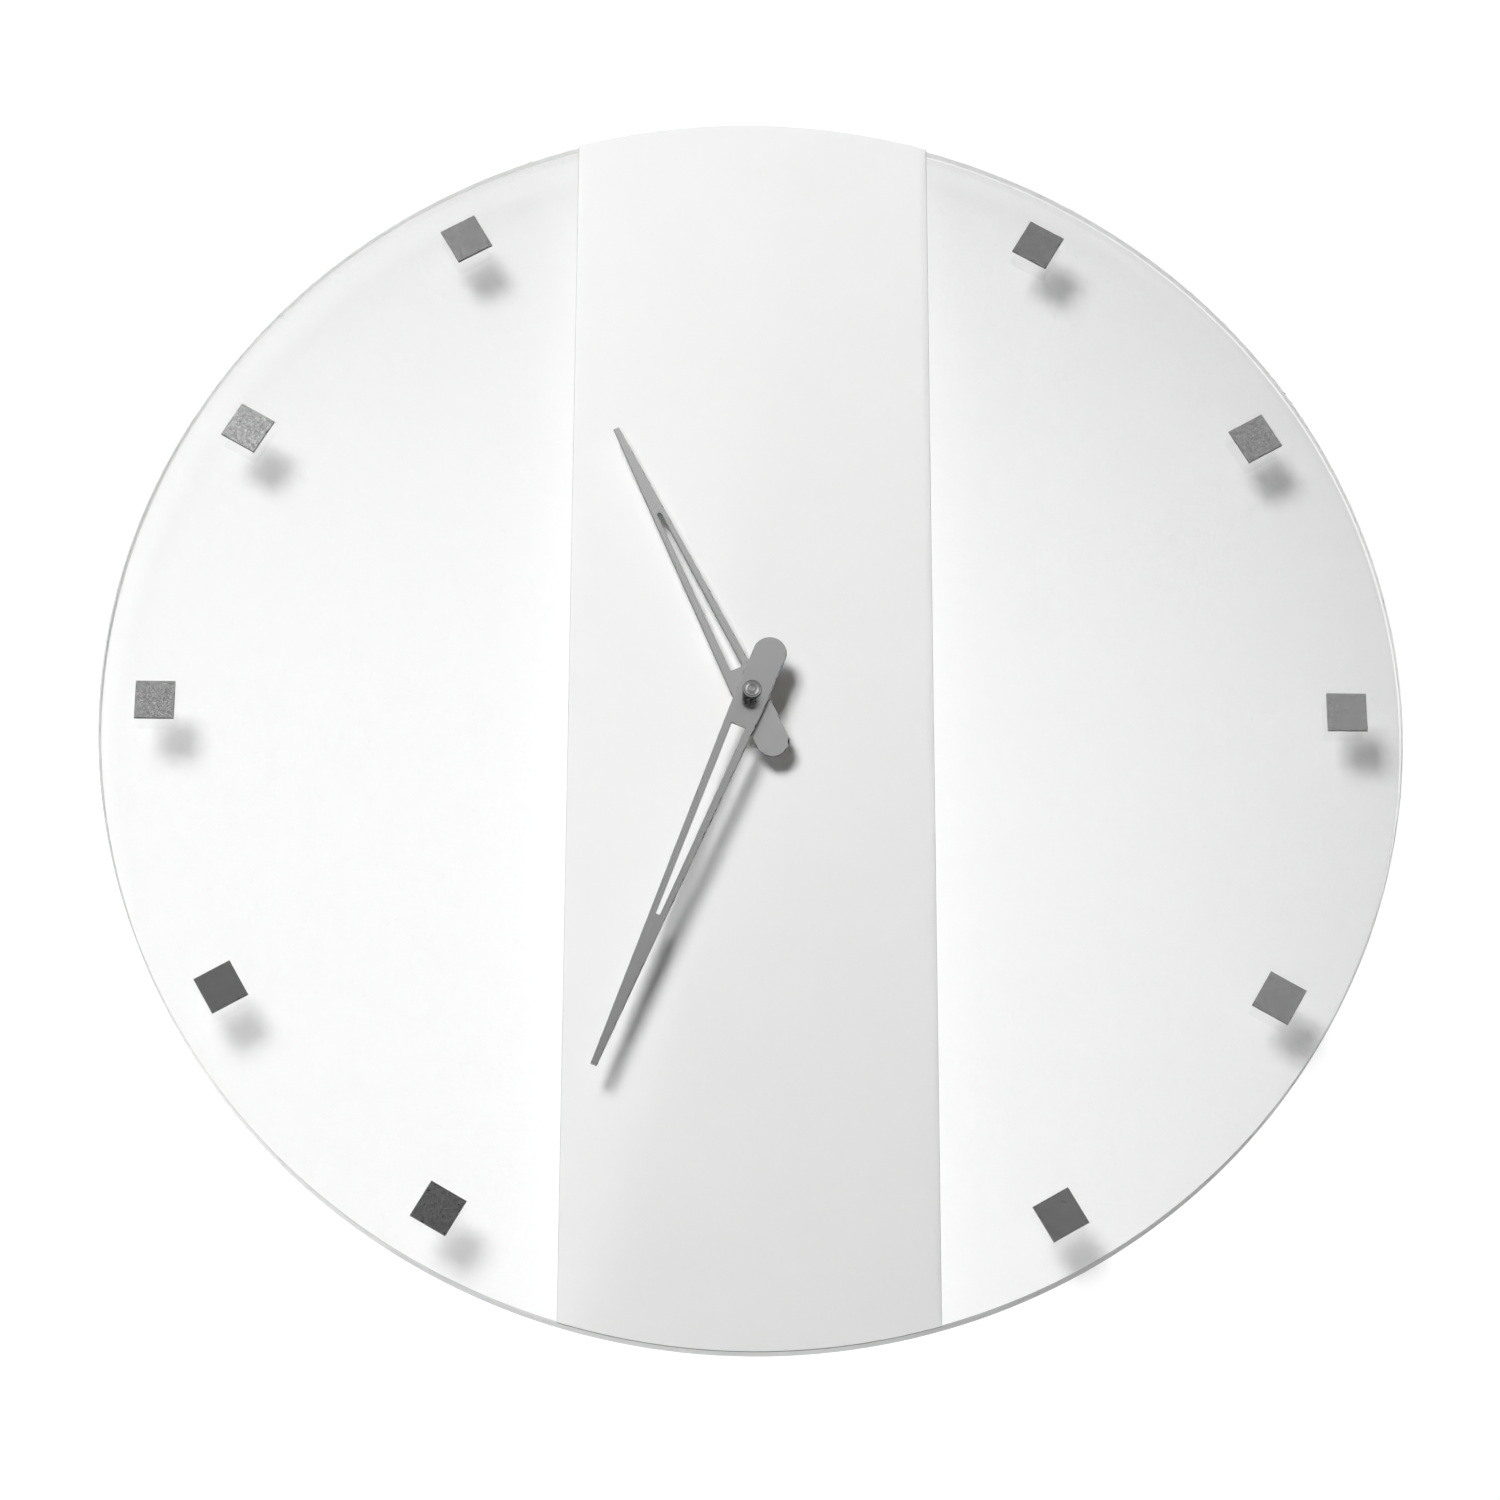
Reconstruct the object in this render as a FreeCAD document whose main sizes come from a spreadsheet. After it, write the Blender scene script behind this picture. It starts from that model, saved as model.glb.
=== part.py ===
"""A round glass wall clock with a lacquered centre band, square hour markers and two slotted hands.

Frame: millimetres, +Z up, the clock faces -Y and the wall is the plane Y = 0. The origin lies on the
clock's axis in the wall plane. Depths are distances in front of the wall, so a depth of 18 is Y = -18.
Clock angles run clockwise from twelve as seen from the front.
"""
import FreeCAD, Part
import math
import os
import re

import Sketcher
from FreeCAD import Placement, Rotation, Vector

doc = FreeCAD.newDocument("glass_wall_clock")

# Driving sizes, in millimetres, degrees or plain shares
SIZES = {
    # Glass disc and its stand-off from the wall
    "disc_radius": 250.0,
    "glass_thickness": 8.0,
    "glass_arris": 0.8,
    "wall_gap": 10.0,
    "movement_hole_radius": 42.0,
    "sleeve_hole_clearance": 0.1,
    # Lacquered band and its welded studs
    "band_width": 140.0,
    "band_thickness": 1.5,
    "band_edge_break": 0.3,
    "stud_side_margin": 14.0,
    "stud_end_margin": 60.0,
    "stud_radius": 2.5,
    "stud_clearance": 0.1,
    "stud_end_setback": 1.4,
    "sleeve_wall": 1.4,
    # Square hour markers
    "marker_side": 15.2,
    "marker_thickness": 1.2,
    "marker_bevel": 0.25,
    "marker_inset": 21.4,
    # Hands, cut from one thickness of sheet
    "hand_sheet": 1.2,
    "hand_bevel": 0.3,
    "hand_slot_corner": 0.35,
    "tail_centre": 18.6,
    "tail_radius": 6.4,
    "minute_length": 157.2,
    "minute_tip_width": 2.4,
    "minute_slot_start": 13.2,
    "minute_slot_end": 94.5,
    "minute_slot_near_width": 5.8,
    "minute_slot_far_width": 1.7,
    "minute_rest_angle": 201.65,
    "hour_length": 124.2,
    "hour_tip_width": 2.3,
    "hour_slot_start": 13.5,
    "hour_slot_end": 84.5,
    "hour_slot_near_width": 5.0,
    "hour_slot_far_width": 1.6,
    "hour_rest_angle": 334.65,
    # Stack of the hands in front of the band
    "hour_hand_lift": 6.3,
    "hand_gap": 2.8,
    "hand_bush_wall": 0.7,
    "hand_bush_flange": 1.0,
    "hand_bush_flange_depth": 1.1,
    "cap_radius": 3.7,
    "cap_length": 6.5,
    "cap_bevel": 0.35,
    "cap_bore_depth": 4.5,
    "cap_bore_spare": 0.5,
    # Quartz movement case
    "case_width": 56.0,
    "case_depth": 16.0,
    "case_corner": 4.0,
    "case_wall": 1.5,
    "case_front_wall": 1.2,
    "case_cover_wall": 1.3,
    "case_clearance": 0.15,
    "finger_notch_radius": 7.0,
    "snap_offset": 14.0,
    "snap_width": 6.0,
    "snap_wall": 1.2,
    "snap_reach": 3.4,
    "snap_hook": 1.0,
    "snap_hook_depth": 1.4,
    "bay_divider": 1.2,
    "bay_divider_top": -9.4,
    "battery_radius": 7.25,
    "battery_length": 49.6,
    "battery_nub_radius": 2.75,
    "battery_nub_length": 1.0,
    "battery_clearance": 0.35,
    "battery_front_clearance": 0.25,
    "contact_sheet": 0.4,
    "contact_width": 8.0,
    "contact_half_height": 5.0,
    # Centre fixing
    "rubber_washer_thickness": 0.5,
    "rubber_washer_radius": 10.0,
    "bush_thread_radius": 4.0,
    "bush_clearance": 0.1,
    "bush_flange_radius": 5.5,
    "bush_flange_thickness": 0.6,
    "bush_length": 7.7,
    "bush_nose_bevel": 0.4,
    "face_washer_radius": 7.5,
    "face_washer_thickness": 0.5,
    "centre_nut_flats": 12.0,
    "centre_nut_thickness": 2.0,
    "running_clearance": 0.05,
    # Arbors and motion work
    "hour_pipe_radius": 2.5,
    "minute_arbor_radius": 1.75,
    "arbor_shaft_radius": 0.75,
    "pivot_radius": 0.3,
    "pivot_length": 1.2,
    "train_shaft_radius": 0.4,
    "motion_module": 0.4,
    "motion_wheel_thickness": 1.0,
    "motion_layer_gap": 0.4,
    "front_wall_gap": 0.4,
    "cannon_end_gap": 0.2,
    "motion_pivot_radius": 0.5,
    "motion_pivot_length": 0.6,
    "motion_angle": 90.0,
    "knob_radius": 5.0,
    "knob_thickness": 2.2,
    "knob_recess_gap": 0.3,
    "knob_grip_radius": 0.45,
    "recess_wall": 1.0,
    # Going train
    "train_plate_thickness": 1.0,
    "train_plate_gap": 0.8,
    "train_module": 0.2,
    "rotor_module": 0.25,
    "train_wheel_thickness": 0.8,
    "train_layer_pitch": 1.5,
    "train_pinion_overlap": 0.15,
    "train_first_gap": 0.4,
    "third_angle": 320.0,
    "second_angle": 35.0,
    "step_angle": 75.0,
    "rotor_angle": 95.0,
    "boss_radius": 1.4,
    "rotor_magnet_radius": 3.0,
    "rotor_magnet_thickness": 3.0,
    "rotor_magnet_gap": 0.6,
    # Motor and electronics
    "stator_thickness": 1.0,
    "stator_hole_gap": 0.4,
    "stator_rim": 1.6,
    "stator_right": 24.0,
    "stator_bottom": 2.2,
    "stator_top": 25.0,
    "stator_arm": 3.8,
    "stator_web": 2.1,
    "core_width": 3.0,
    "core_thickness": 1.0,
    "core_overrun": 0.4,
    "bobbin_wall": 0.6,
    "bobbin_flange": 0.8,
    "bobbin_gap": 0.2,
    "winding_flange_margin": 0.3,
    "board_left": -25.6,
    "board_width": 12.0,
    "board_bottom": -6.0,
    "board_height": 28.0,
    "board_thickness": 1.0,
    "board_depth": 5.0,
    "board_post_radius": 1.5,
    "board_stake_radius": 0.8,
    "board_post_inset": 4.0,
    "chip_radius": 3.0,
    "chip_height": 1.2,
    "crystal_radius": 1.0,
    "crystal_length": 6.0,
    # Rear frame and wall fixing
    "frame_width": 112.0,
    "frame_height": 360.0,
    "frame_sheet": 1.5,
    "frame_flange_setback": 1.0,
    "frame_fold_radius": 2.0,
    "spacer_thickness": 3.0,
    "spacer_radius": 10.0,
    "washer_radius": 5.0,
    "washer_thickness": 1.0,
    "nut_flats": 8.0,
    "nut_thickness": 2.7,
    "keyhole_side_margin": 26.0,
    "keyhole_end_margin": 35.0,
    "keyhole_head_radius": 5.0,
    "keyhole_slot_radius": 2.5,
    "keyhole_rise": 9.0,
    "bumper_radius": 6.0,
    "bumper_edge": 1.0,
    "bumper_side_margin": 11.0,
    "bumper_end_margin": 14.0,
    # Shared overrun of cutting tools
    "cut_overrun": 1.0,
}

# Teeth of the motion work, which takes the minute arbor down to the hour pipe by twelve
CANNON_TEETH = 10
MOTION_WHEEL_TEETH = 30
MOTION_PINION_TEETH = 8
HOUR_WHEEL_TEETH = 32

# Teeth of the going train, which takes the rotor down to the centre wheel by 1800
CENTRE_WHEEL_TEETH = 64
THIRD_WHEEL_TEETH = 60
SECOND_WHEEL_TEETH = 48
STEP_WHEEL_TEETH = 40
TRAIN_PINION_TEETH = 8

# Tooth form: widths as shares of the circular pitch, heights as shares of the module
TOOTH_ROOT_SHARE = 0.44
TOOTH_PITCH_SHARE = 0.37
TOOTH_TIP_SHARE = 0.14
PINION_ROOT_SHARE = 0.32
WHEEL_ADDENDUM_SHARE = 0.85
PINION_ADDENDUM_SHARE = 0.65
DEDENDUM_SHARE = 1.15
FEW_TEETH = 12

HOURS = 12
HOUR_STEP = 360 // HOURS
KNOB_GRIPS = 18

sheet = doc.addObject("Spreadsheet::Sheet", "Sizes")
for row, (alias, number) in enumerate(SIZES.items(), start=1):
    sheet.set(f"A{row}", alias.replace("_", " "))
    sheet.set(f"B{row}", str(number))
    sheet.setAlias(f"B{row}", alias)
doc.recompute()

# Derived places, worked out from the sheet by expressions of their own
derived = doc.addObject("App::FeaturePython", "Derived")


def linked(text):
    """TEXT with each size or derived place turned into a reference to its cell or property."""
    def reference(match):
        word = match.group(0)
        if word in SIZES:
            return "Sizes." + word
        if word in derived.PropertiesList:
            return "Derived." + word
        return word
    return re.sub(r"[A-Za-z_][A-Za-z_0-9]*", reference, text)


def derive(name, text):
    """Add a derived place NAME, bound to the expression TEXT."""
    derived.addProperty("App::PropertyFloat", name, "Places")
    derived.setExpression(name, linked(text))


def value(name):
    """The number behind a size or a derived place."""
    if name in SIZES:
        return float(sheet.get(name))
    return float(getattr(derived, name))


def number(text):
    """What the expression TEXT comes to."""
    return float(derived.evalExpression(linked(text)))


def bind(obj, **texts):
    """Bind properties of OBJ; a double underscore in a name stands for a dot."""
    for name, text in texts.items():
        obj.setExpression(name.replace("__", "."), linked(text))


derive("glass_front", "wall_gap + glass_thickness")
derive("band_front", "glass_front + band_thickness")
derive("case_front", "glass_front - rubber_washer_thickness")
derive("case_back", "case_front - case_depth")
derive("case_inner_front", "case_front - case_front_wall")
derive("case_half", "case_width / 2")
derive("case_inner_half", "case_half - case_wall")
derive("marker_ring_radius", "disc_radius - marker_inset")
derive("frame_half_width", "frame_width / 2")
derive("frame_half_height", "frame_height / 2")
derive("stud_offset_x", "frame_half_width - stud_side_margin")
derive("stud_offset_z", "frame_half_height - stud_end_margin")
derive("keyhole_offset_x", "frame_half_width - keyhole_side_margin")
derive("keyhole_height", "frame_half_height - keyhole_end_margin")
derive("bumper_offset_x", "frame_half_width - bumper_side_margin")
derive("bumper_offset_z", "frame_half_height - bumper_end_margin")
derive("sleeve_radius", "stud_radius + stud_clearance + sleeve_wall")
derive("sleeve_hole_radius", "sleeve_radius + sleeve_hole_clearance")
derive("stud_hole_radius", "stud_radius + stud_clearance")
derive("frame_front", "wall_gap - spacer_thickness")
derive("frame_back", "frame_front - frame_sheet")
derive("washer_back", "frame_back - washer_thickness")
derive("hour_hand_back", "band_front + hour_hand_lift")
derive("hour_hand_front", "hour_hand_back + hand_sheet")
derive("minute_hand_back", "hour_hand_front + hand_gap")
derive("minute_hand_front", "minute_hand_back + hand_sheet")
derive("minute_arbor_front", "minute_hand_front + cap_bore_depth - cap_bore_spare")
derive("bush_bore_radius", "hour_pipe_radius + running_clearance")
derive("pipe_bore_radius", "minute_arbor_radius + running_clearance")
derive("hour_wheel_front", "case_inner_front - front_wall_gap")
derive("hour_wheel_back", "hour_wheel_front - motion_wheel_thickness")
derive("motion_wheel_front", "hour_wheel_back - motion_layer_gap")
derive("motion_wheel_back", "motion_wheel_front - motion_wheel_thickness")
derive("cannon_back", "motion_wheel_back - motion_layer_gap")
derive("plate_front", "motion_wheel_back - train_plate_gap")
derive("plate_back", "plate_front - train_plate_thickness")
derive("centre_wheel_front", "plate_back - train_first_gap")
derive("third_wheel_front", "centre_wheel_front - train_layer_pitch")
derive("second_wheel_front", "third_wheel_front - train_layer_pitch")
derive("step_wheel_front", "second_wheel_front - train_layer_pitch")
derive("cover_inner", "case_back + case_cover_wall")
derive("boss_front", "step_wheel_front - train_layer_pitch")
derive("recess_floor", "case_back + knob_thickness + 2 * knob_recess_gap")
derive("recess_inner", "recess_floor + recess_wall")
derive("recess_radius", "knob_radius + knob_recess_gap")
derive("battery_height", "bay_divider_top - bay_divider - battery_clearance - battery_radius")
derive("battery_depth", "case_inner_front - battery_front_clearance - battery_radius")
derive("battery_left", "case_inner_half - battery_nub_length - contact_sheet - battery_length")
derive("rotor_magnet_front", "plate_back - rotor_magnet_gap")
derive("rotor_magnet_back", "rotor_magnet_front - rotor_magnet_thickness")
derive("stator_front", "rotor_magnet_front - (rotor_magnet_thickness - stator_thickness) / 2")
derive("stator_back", "stator_front - stator_thickness")
doc.recompute()


def polar(centre, distance, clock_angle):
    """The point (x, z) at DISTANCE from CENTRE in the direction CLOCK_ANGLE."""
    turn = math.radians(clock_angle)
    return centre[0] + distance * math.sin(turn), centre[1] + distance * math.cos(turn)


def mesh_distance(module, teeth_a, teeth_b):
    """The distance between the arbors of two gears in mesh."""
    return module * (teeth_a + teeth_b) / 2


motion_distance = mesh_distance(value("motion_module"), CANNON_TEETH, MOTION_WHEEL_TEETH)
third_distance = mesh_distance(value("train_module"), CENTRE_WHEEL_TEETH, TRAIN_PINION_TEETH)
second_distance = mesh_distance(value("train_module"), THIRD_WHEEL_TEETH, TRAIN_PINION_TEETH)
step_distance = mesh_distance(value("train_module"), SECOND_WHEEL_TEETH, TRAIN_PINION_TEETH)
rotor_distance = mesh_distance(value("rotor_module"), STEP_WHEEL_TEETH, TRAIN_PINION_TEETH)

centre_arbor = (0.0, 0.0)
motion_arbor = polar(centre_arbor, motion_distance, value("motion_angle"))
third_arbor = polar(centre_arbor, third_distance, value("third_angle"))
second_arbor = polar(third_arbor, second_distance, value("second_angle"))
step_arbor = polar(second_arbor, step_distance, value("step_angle"))
rotor_arbor = polar(step_arbor, rotor_distance, value("rotor_angle"))


# Helpers for solids drawn by hand

def at_depth(x, depth, z):
    """A point at DEPTH in front of the wall."""
    return Vector(x, -depth, z)


def rod(centre, radius, back, front):
    """A round bar along the depth from BACK to FRONT."""
    return Part.makeCylinder(radius, front - back, at_depth(centre[0], back, centre[1]), Vector(0, -1, 0))


def block(left, right, bottom, top, back, front):
    """A box between the given sides."""
    return Part.makeBox(right - left, front - back, top - bottom, Vector(left, -front, bottom))


def prism(points, back, front):
    """A prism whose outline is the closed list of (x, z) POINTS."""
    corners = [at_depth(x, back, z) for x, z in points]
    face = Part.Face(Part.makePolygon(corners + corners[:1]))
    return face.extrude(Vector(0, back - front, 0))


def joined(*solids):
    """The solids as one."""
    return solids[0].multiFuse(list(solids[1:])).removeSplitter()


def node(label, shape):
    """Keep a solid drawn by hand as a sub-part."""
    feature = doc.addObject("Part::Feature", label)
    feature.Shape = shape
    feature.Label = label
    return feature


# Helpers for bound primitives and bodies

def round_bar(name, radius, back, length, x="0", z="0"):
    """A bound cylinder along the depth."""
    bar = doc.addObject("Part::Cylinder", name)
    bar.Placement = Placement(Vector(0, 0, 0), Rotation(Vector(1, 0, 0), 90))
    bind(bar, Radius=radius, Height=length)
    bind(bar, Placement__Base__x=x, Placement__Base__y=f"0 - ( {back} )", Placement__Base__z=z)
    return bar


def cut_from(name, base, tool):
    """BASE with TOOL taken out of it."""
    cut = doc.addObject("Part::Cut", name)
    cut.Base = base
    cut.Tool = tool
    return cut


def fused(name, *shapes):
    """The shapes as one bound fusion."""
    whole = doc.addObject("Part::MultiFuse", name)
    whole.Shapes = list(shapes)
    return whole


def kept_apart(name, *shapes):
    """Like separate solids kept as one group."""
    group = doc.addObject("Part::Compound", name)
    group.Links = list(shapes)
    return group


def ring(name, outer, inner, back, length, x="0", z="0"):
    """A bound ring: a washer, a sleeve or a tube."""
    body = round_bar(name + "_outside", outer, back, length, x, z)
    bore = round_bar(name + "_bore", inner, f"{back} - cut_overrun", f"{length} + 2 * cut_overrun", x, z)
    return cut_from(name, body, bore)


def hexagon(name, flats, bore, back, length, x="0", z="0"):
    """A bound hexagon nut of width FLATS across its flats."""
    prism_body = doc.addObject("Part::Prism", name + "_outside")
    prism_body.Polygon = 6
    prism_body.Placement = Placement(Vector(0, 0, 0), Rotation(Vector(1, 0, 0), 90))
    bind(prism_body, Circumradius=f"{flats} / 2 / cos( 30deg )", Height=length)
    bind(prism_body, Placement__Base__x=x, Placement__Base__y=f"0 - ( {back} )", Placement__Base__z=z)
    hole = round_bar(name + "_bore", bore, f"{back} - cut_overrun", f"{length} + 2 * cut_overrun", x, z)
    return cut_from(name, prism_body, hole)


def new_body(label):
    """An empty body."""
    body = doc.addObject("PartDesign::Body", label)
    body.Label = label
    return body


def face_sketch(body, name, depth):
    """A sketch seen from the front at DEPTH: its x is X and its y is Z, and a pad grows forwards."""
    sketch = body.newObject("Sketcher::SketchObject", name)
    plane = next(item for item in body.Origin.OriginFeatures if item.Role == "XZ_Plane")
    sketch.AttachmentSupport = [(plane, "")]
    sketch.MapMode = "FlatFace"
    bind(sketch, AttachmentOffset__Base__z=depth)
    return sketch


def constrain(sketch, text, *details):
    """Add a dimension whose size is the expression TEXT."""
    index = sketch.addConstraint(Sketcher.Constraint(*details, number(text)))
    bind(sketch, **{f"Constraints[{index}]": text})


def sketch_circle(sketch, radius, x="0", z="0"):
    """A circle with its radius and centre bound."""
    centre = Vector(number(x), number(z), 0)
    circle = sketch.addGeometry(Part.Circle(centre, Vector(0, 0, 1), number(radius)), False)
    constrain(sketch, radius, "Radius", circle)
    constrain(sketch, x, "DistanceX", -1, 1, circle, 3)
    constrain(sketch, z, "DistanceY", -1, 1, circle, 3)


def sketch_rectangle(sketch, left, right, bottom, top):
    """A rectangle with its four sides bound."""
    corners = [Vector(number(x), number(z), 0)
               for x, z in ((left, bottom), (right, bottom), (right, top), (left, top))]
    first = sketch.GeometryCount
    for index in range(4):
        sketch.addGeometry(Part.LineSegment(corners[index], corners[(index + 1) % 4]), False)
    for index in range(4):
        after = first + (index + 1) % 4
        sketch.addConstraint(Sketcher.Constraint("Coincident", first + index, 2, after, 1))
        direction = "Vertical" if index % 2 else "Horizontal"
        sketch.addConstraint(Sketcher.Constraint(direction, first + index))
    constrain(sketch, left, "DistanceX", -1, 1, first, 1)
    constrain(sketch, bottom, "DistanceY", -1, 1, first, 1)
    constrain(sketch, right, "DistanceX", -1, 1, first + 1, 2)
    constrain(sketch, top, "DistanceY", -1, 1, first + 1, 2)


def pad(body, sketch, length, name="Pad"):
    """Grow a sketch forwards by LENGTH."""
    feature = body.newObject("PartDesign::Pad", name)
    feature.Profile = sketch
    bind(feature, Length=length)
    return feature


def edges_of(shape, wanted):
    """The names of the edges of SHAPE that pass the test WANTED."""
    return [f"Edge{index}" for index, edge in enumerate(shape.Edges, start=1) if wanted(edge)]


def chamfered(body, base, names, size, name="Chamfer"):
    """Bevel the named edges of BASE."""
    feature = body.newObject("PartDesign::Chamfer", name)
    feature.Base = (base, names)
    bind(feature, Size=size)
    body.Tip = feature
    return feature


def filleted(body, base, names, radius, name="Fillet"):
    """Round the named edges of BASE."""
    feature = body.newObject("PartDesign::Fillet", name)
    feature.Base = (base, names)
    bind(feature, Radius=radius)
    body.Tip = feature
    return feature


def near(first, second, tolerance=1e-4):
    """Whether two places are the same."""
    return abs(first - second) < tolerance


def lies_at(edge, depth):
    """Whether an edge lies wholly at DEPTH in a body's own frame."""
    box = edge.BoundBox
    return near(box.YMin, -depth) and near(box.YMax, -depth)


STUD_PLACES = [(x, z) for x in ("stud_offset_x", "0 - stud_offset_x")
               for z in ("stud_offset_z", "0 - stud_offset_z")]
BUMPER_PLACES = [(x, z) for x in ("bumper_offset_x", "0 - bumper_offset_x")
                 for z in ("bumper_offset_z", "0 - bumper_offset_z")]


# Glass disc: float glass with a polished, arrised rim, a movement hole and four stud holes

def make_glass_disc():
    body = new_body("glass_disc")
    sketch = face_sketch(body, "DiscOutline", "wall_gap")
    sketch_circle(sketch, "disc_radius")
    sketch_circle(sketch, "movement_hole_radius")
    for x, z in STUD_PLACES:
        sketch_circle(sketch, "sleeve_hole_radius", x, z)
    disc = pad(body, sketch, "glass_thickness")
    doc.recompute()
    radius = value("disc_radius")
    rims = edges_of(disc.Shape, lambda edge: edge.BoundBox.XLength > radius
                    and hasattr(edge.Curve, "Radius"))
    chamfered(body, disc, rims, "glass_arris", "Arris")
    return body


# Centre band: lacquered sheet over the middle of the glass, its ends cut to the disc's own arc

def make_front_band():
    body = new_body("front_band")
    sketch = face_sketch(body, "BandOutline", "glass_front")
    radius = value("disc_radius")
    half = value("band_width") / 2
    corner = math.sqrt(radius * radius - half * half)
    top = Part.Arc(Vector(half, corner, 0), Vector(0, radius, 0), Vector(-half, corner, 0))
    bottom = Part.Arc(Vector(-half, -corner, 0), Vector(0, -radius, 0), Vector(half, -corner, 0))
    sketch.addGeometry(top, False)
    sketch.addGeometry(Part.LineSegment(Vector(-half, corner, 0), Vector(-half, -corner, 0)), False)
    sketch.addGeometry(bottom, False)
    sketch.addGeometry(Part.LineSegment(Vector(half, -corner, 0), Vector(half, corner, 0)), False)
    for index in range(4):
        sketch.addConstraint(Sketcher.Constraint("Coincident", index, 2, (index + 1) % 4, 1))
    for arc in (0, 2):
        sketch.addConstraint(Sketcher.Constraint("Coincident", arc, 3, -1, 1))
        constrain(sketch, "disc_radius", "Radius", arc)
    for side in (1, 3):
        sketch.addConstraint(Sketcher.Constraint("Vertical", side))
    constrain(sketch, "0 - band_width / 2", "DistanceX", -1, 1, 1, 1)
    constrain(sketch, "band_width / 2", "DistanceX", -1, 1, 3, 1)
    sketch_circle(sketch, "bush_thread_radius + bush_clearance")
    plate = pad(body, sketch, "band_thickness")
    doc.recompute()
    front = value("band_front")
    outline = edges_of(plate.Shape, lambda edge: lies_at(edge, front)
                       and max(edge.BoundBox.XMax, -edge.BoundBox.XMin) > half / 2)
    chamfered(body, plate, outline, "band_edge_break", "EdgeBreak")
    return body


def make_band_fixings():
    """Studs welded to the band, with the sleeves, spacers, washers and nuts threaded on each."""
    studs = []
    sleeves = []
    spacers = []
    washers = []
    nuts = []
    for index, (x, z) in enumerate(STUD_PLACES, start=1):
        length = "glass_front - stud_end_setback"
        studs.append(round_bar(f"Stud{index}", "stud_radius", "stud_end_setback", length, x, z))
        sleeves.append(ring(f"Sleeve{index}", "sleeve_radius", "stud_hole_radius", "wall_gap",
                            "glass_thickness", x, z))
        spacers.append(ring(f"Spacer{index}", "spacer_radius", "stud_hole_radius", "frame_front",
                            "spacer_thickness", x, z))
        washers.append(ring(f"Washer{index}", "washer_radius", "stud_hole_radius", "washer_back",
                            "washer_thickness", x, z))
        nuts.append(hexagon(f"Nut{index}", "nut_flats", "stud_radius", "washer_back - nut_thickness",
                            "nut_thickness", x, z))
    return [kept_apart("band_studs", *studs), kept_apart("stud_sleeves", *sleeves),
            kept_apart("frame_spacers", *spacers), kept_apart("frame_washers", *washers),
            kept_apart("frame_nuts", *nuts)]


# Hour markers: small square plates bonded to the glass, each turned to its own radius

def marked_hours():
    """The hours whose places the band leaves clear."""
    hours = []
    for hour in range(1, HOURS + 1):
        off_axis = abs(polar((0, 0), value("marker_ring_radius"), HOUR_STEP * hour)[0])
        if off_axis > value("band_width") / 2:
            hours.append(hour)
    return hours


def make_marker(hour):
    body = new_body(f"hour_marker_{hour:02d}")
    sketch = face_sketch(body, "Square", "glass_front")
    half = "marker_side / 2"
    sketch_rectangle(sketch, f"0 - {half}", half, f"0 - {half}", half)
    plate = pad(body, sketch, "marker_thickness")
    doc.recompute()
    front = value("glass_front") + value("marker_thickness")
    chamfered(body, plate, edges_of(plate.Shape, lambda edge: lies_at(edge, front)), "marker_bevel")
    turn = f"{HOUR_STEP * hour}deg"
    body.Placement = Placement(Vector(0, 0, 0), Rotation(Vector(0, 1, 0), HOUR_STEP * hour))
    bind(body, Placement__Base__x=f"marker_ring_radius * sin( {turn} )",
         Placement__Base__z=f"marker_ring_radius * cos( {turn} )")
    return body


# Hands: a tapered blade with a round tail and a tapered slot, standing at its rest angle

def sketch_hand(sketch, length, tip_width):
    """The outline: a round tail, parallel sides up to the axis, and a taper to the blunt tip."""
    reach = value(length)
    tip = value(tip_width) / 2
    half = value("tail_radius")
    drop = value("tail_centre")
    corners = [Vector(-half, -drop, 0), Vector(-half, 0, 0), Vector(-tip, reach, 0),
               Vector(tip, reach, 0), Vector(half, 0, 0), Vector(half, -drop, 0)]
    sides = [sketch.addGeometry(Part.LineSegment(start, end), False)
             for start, end in zip(corners, corners[1:])]
    for before, after in zip(sides, sides[1:]):
        sketch.addConstraint(Sketcher.Constraint("Coincident", before, 2, after, 1))
    half_round = Part.Arc(corners[0], Vector(0, -drop - half, 0), corners[-1])
    arc = sketch.addGeometry(half_round, False)
    sketch.addConstraint(Sketcher.Constraint("Tangent", arc, 1, sides[0], 1))
    sketch.addConstraint(Sketcher.Constraint("Tangent", arc, 2, sides[-1], 2))
    sketch.addConstraint(Sketcher.Constraint("Vertical", sides[0]))
    sketch.addConstraint(Sketcher.Constraint("Symmetric", sides[0], 2, sides[-1], 1, -1, 1))
    sketch.addConstraint(Sketcher.Constraint("Symmetric", sides[2], 1, sides[2], 2, -2))
    sketch.addConstraint(Sketcher.Constraint("PointOnObject", sides[0], 2, -1))
    sketch.addConstraint(Sketcher.Constraint("PointOnObject", arc, 3, -2))
    constrain(sketch, tip_width, "DistanceX", sides[2], 1, sides[2], 2)
    constrain(sketch, length, "DistanceY", -1, 1, sides[2], 1)
    constrain(sketch, "tail_radius", "Radius", arc)
    constrain(sketch, "tail_centre", "DistanceY", arc, 3, -1, 1)


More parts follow.
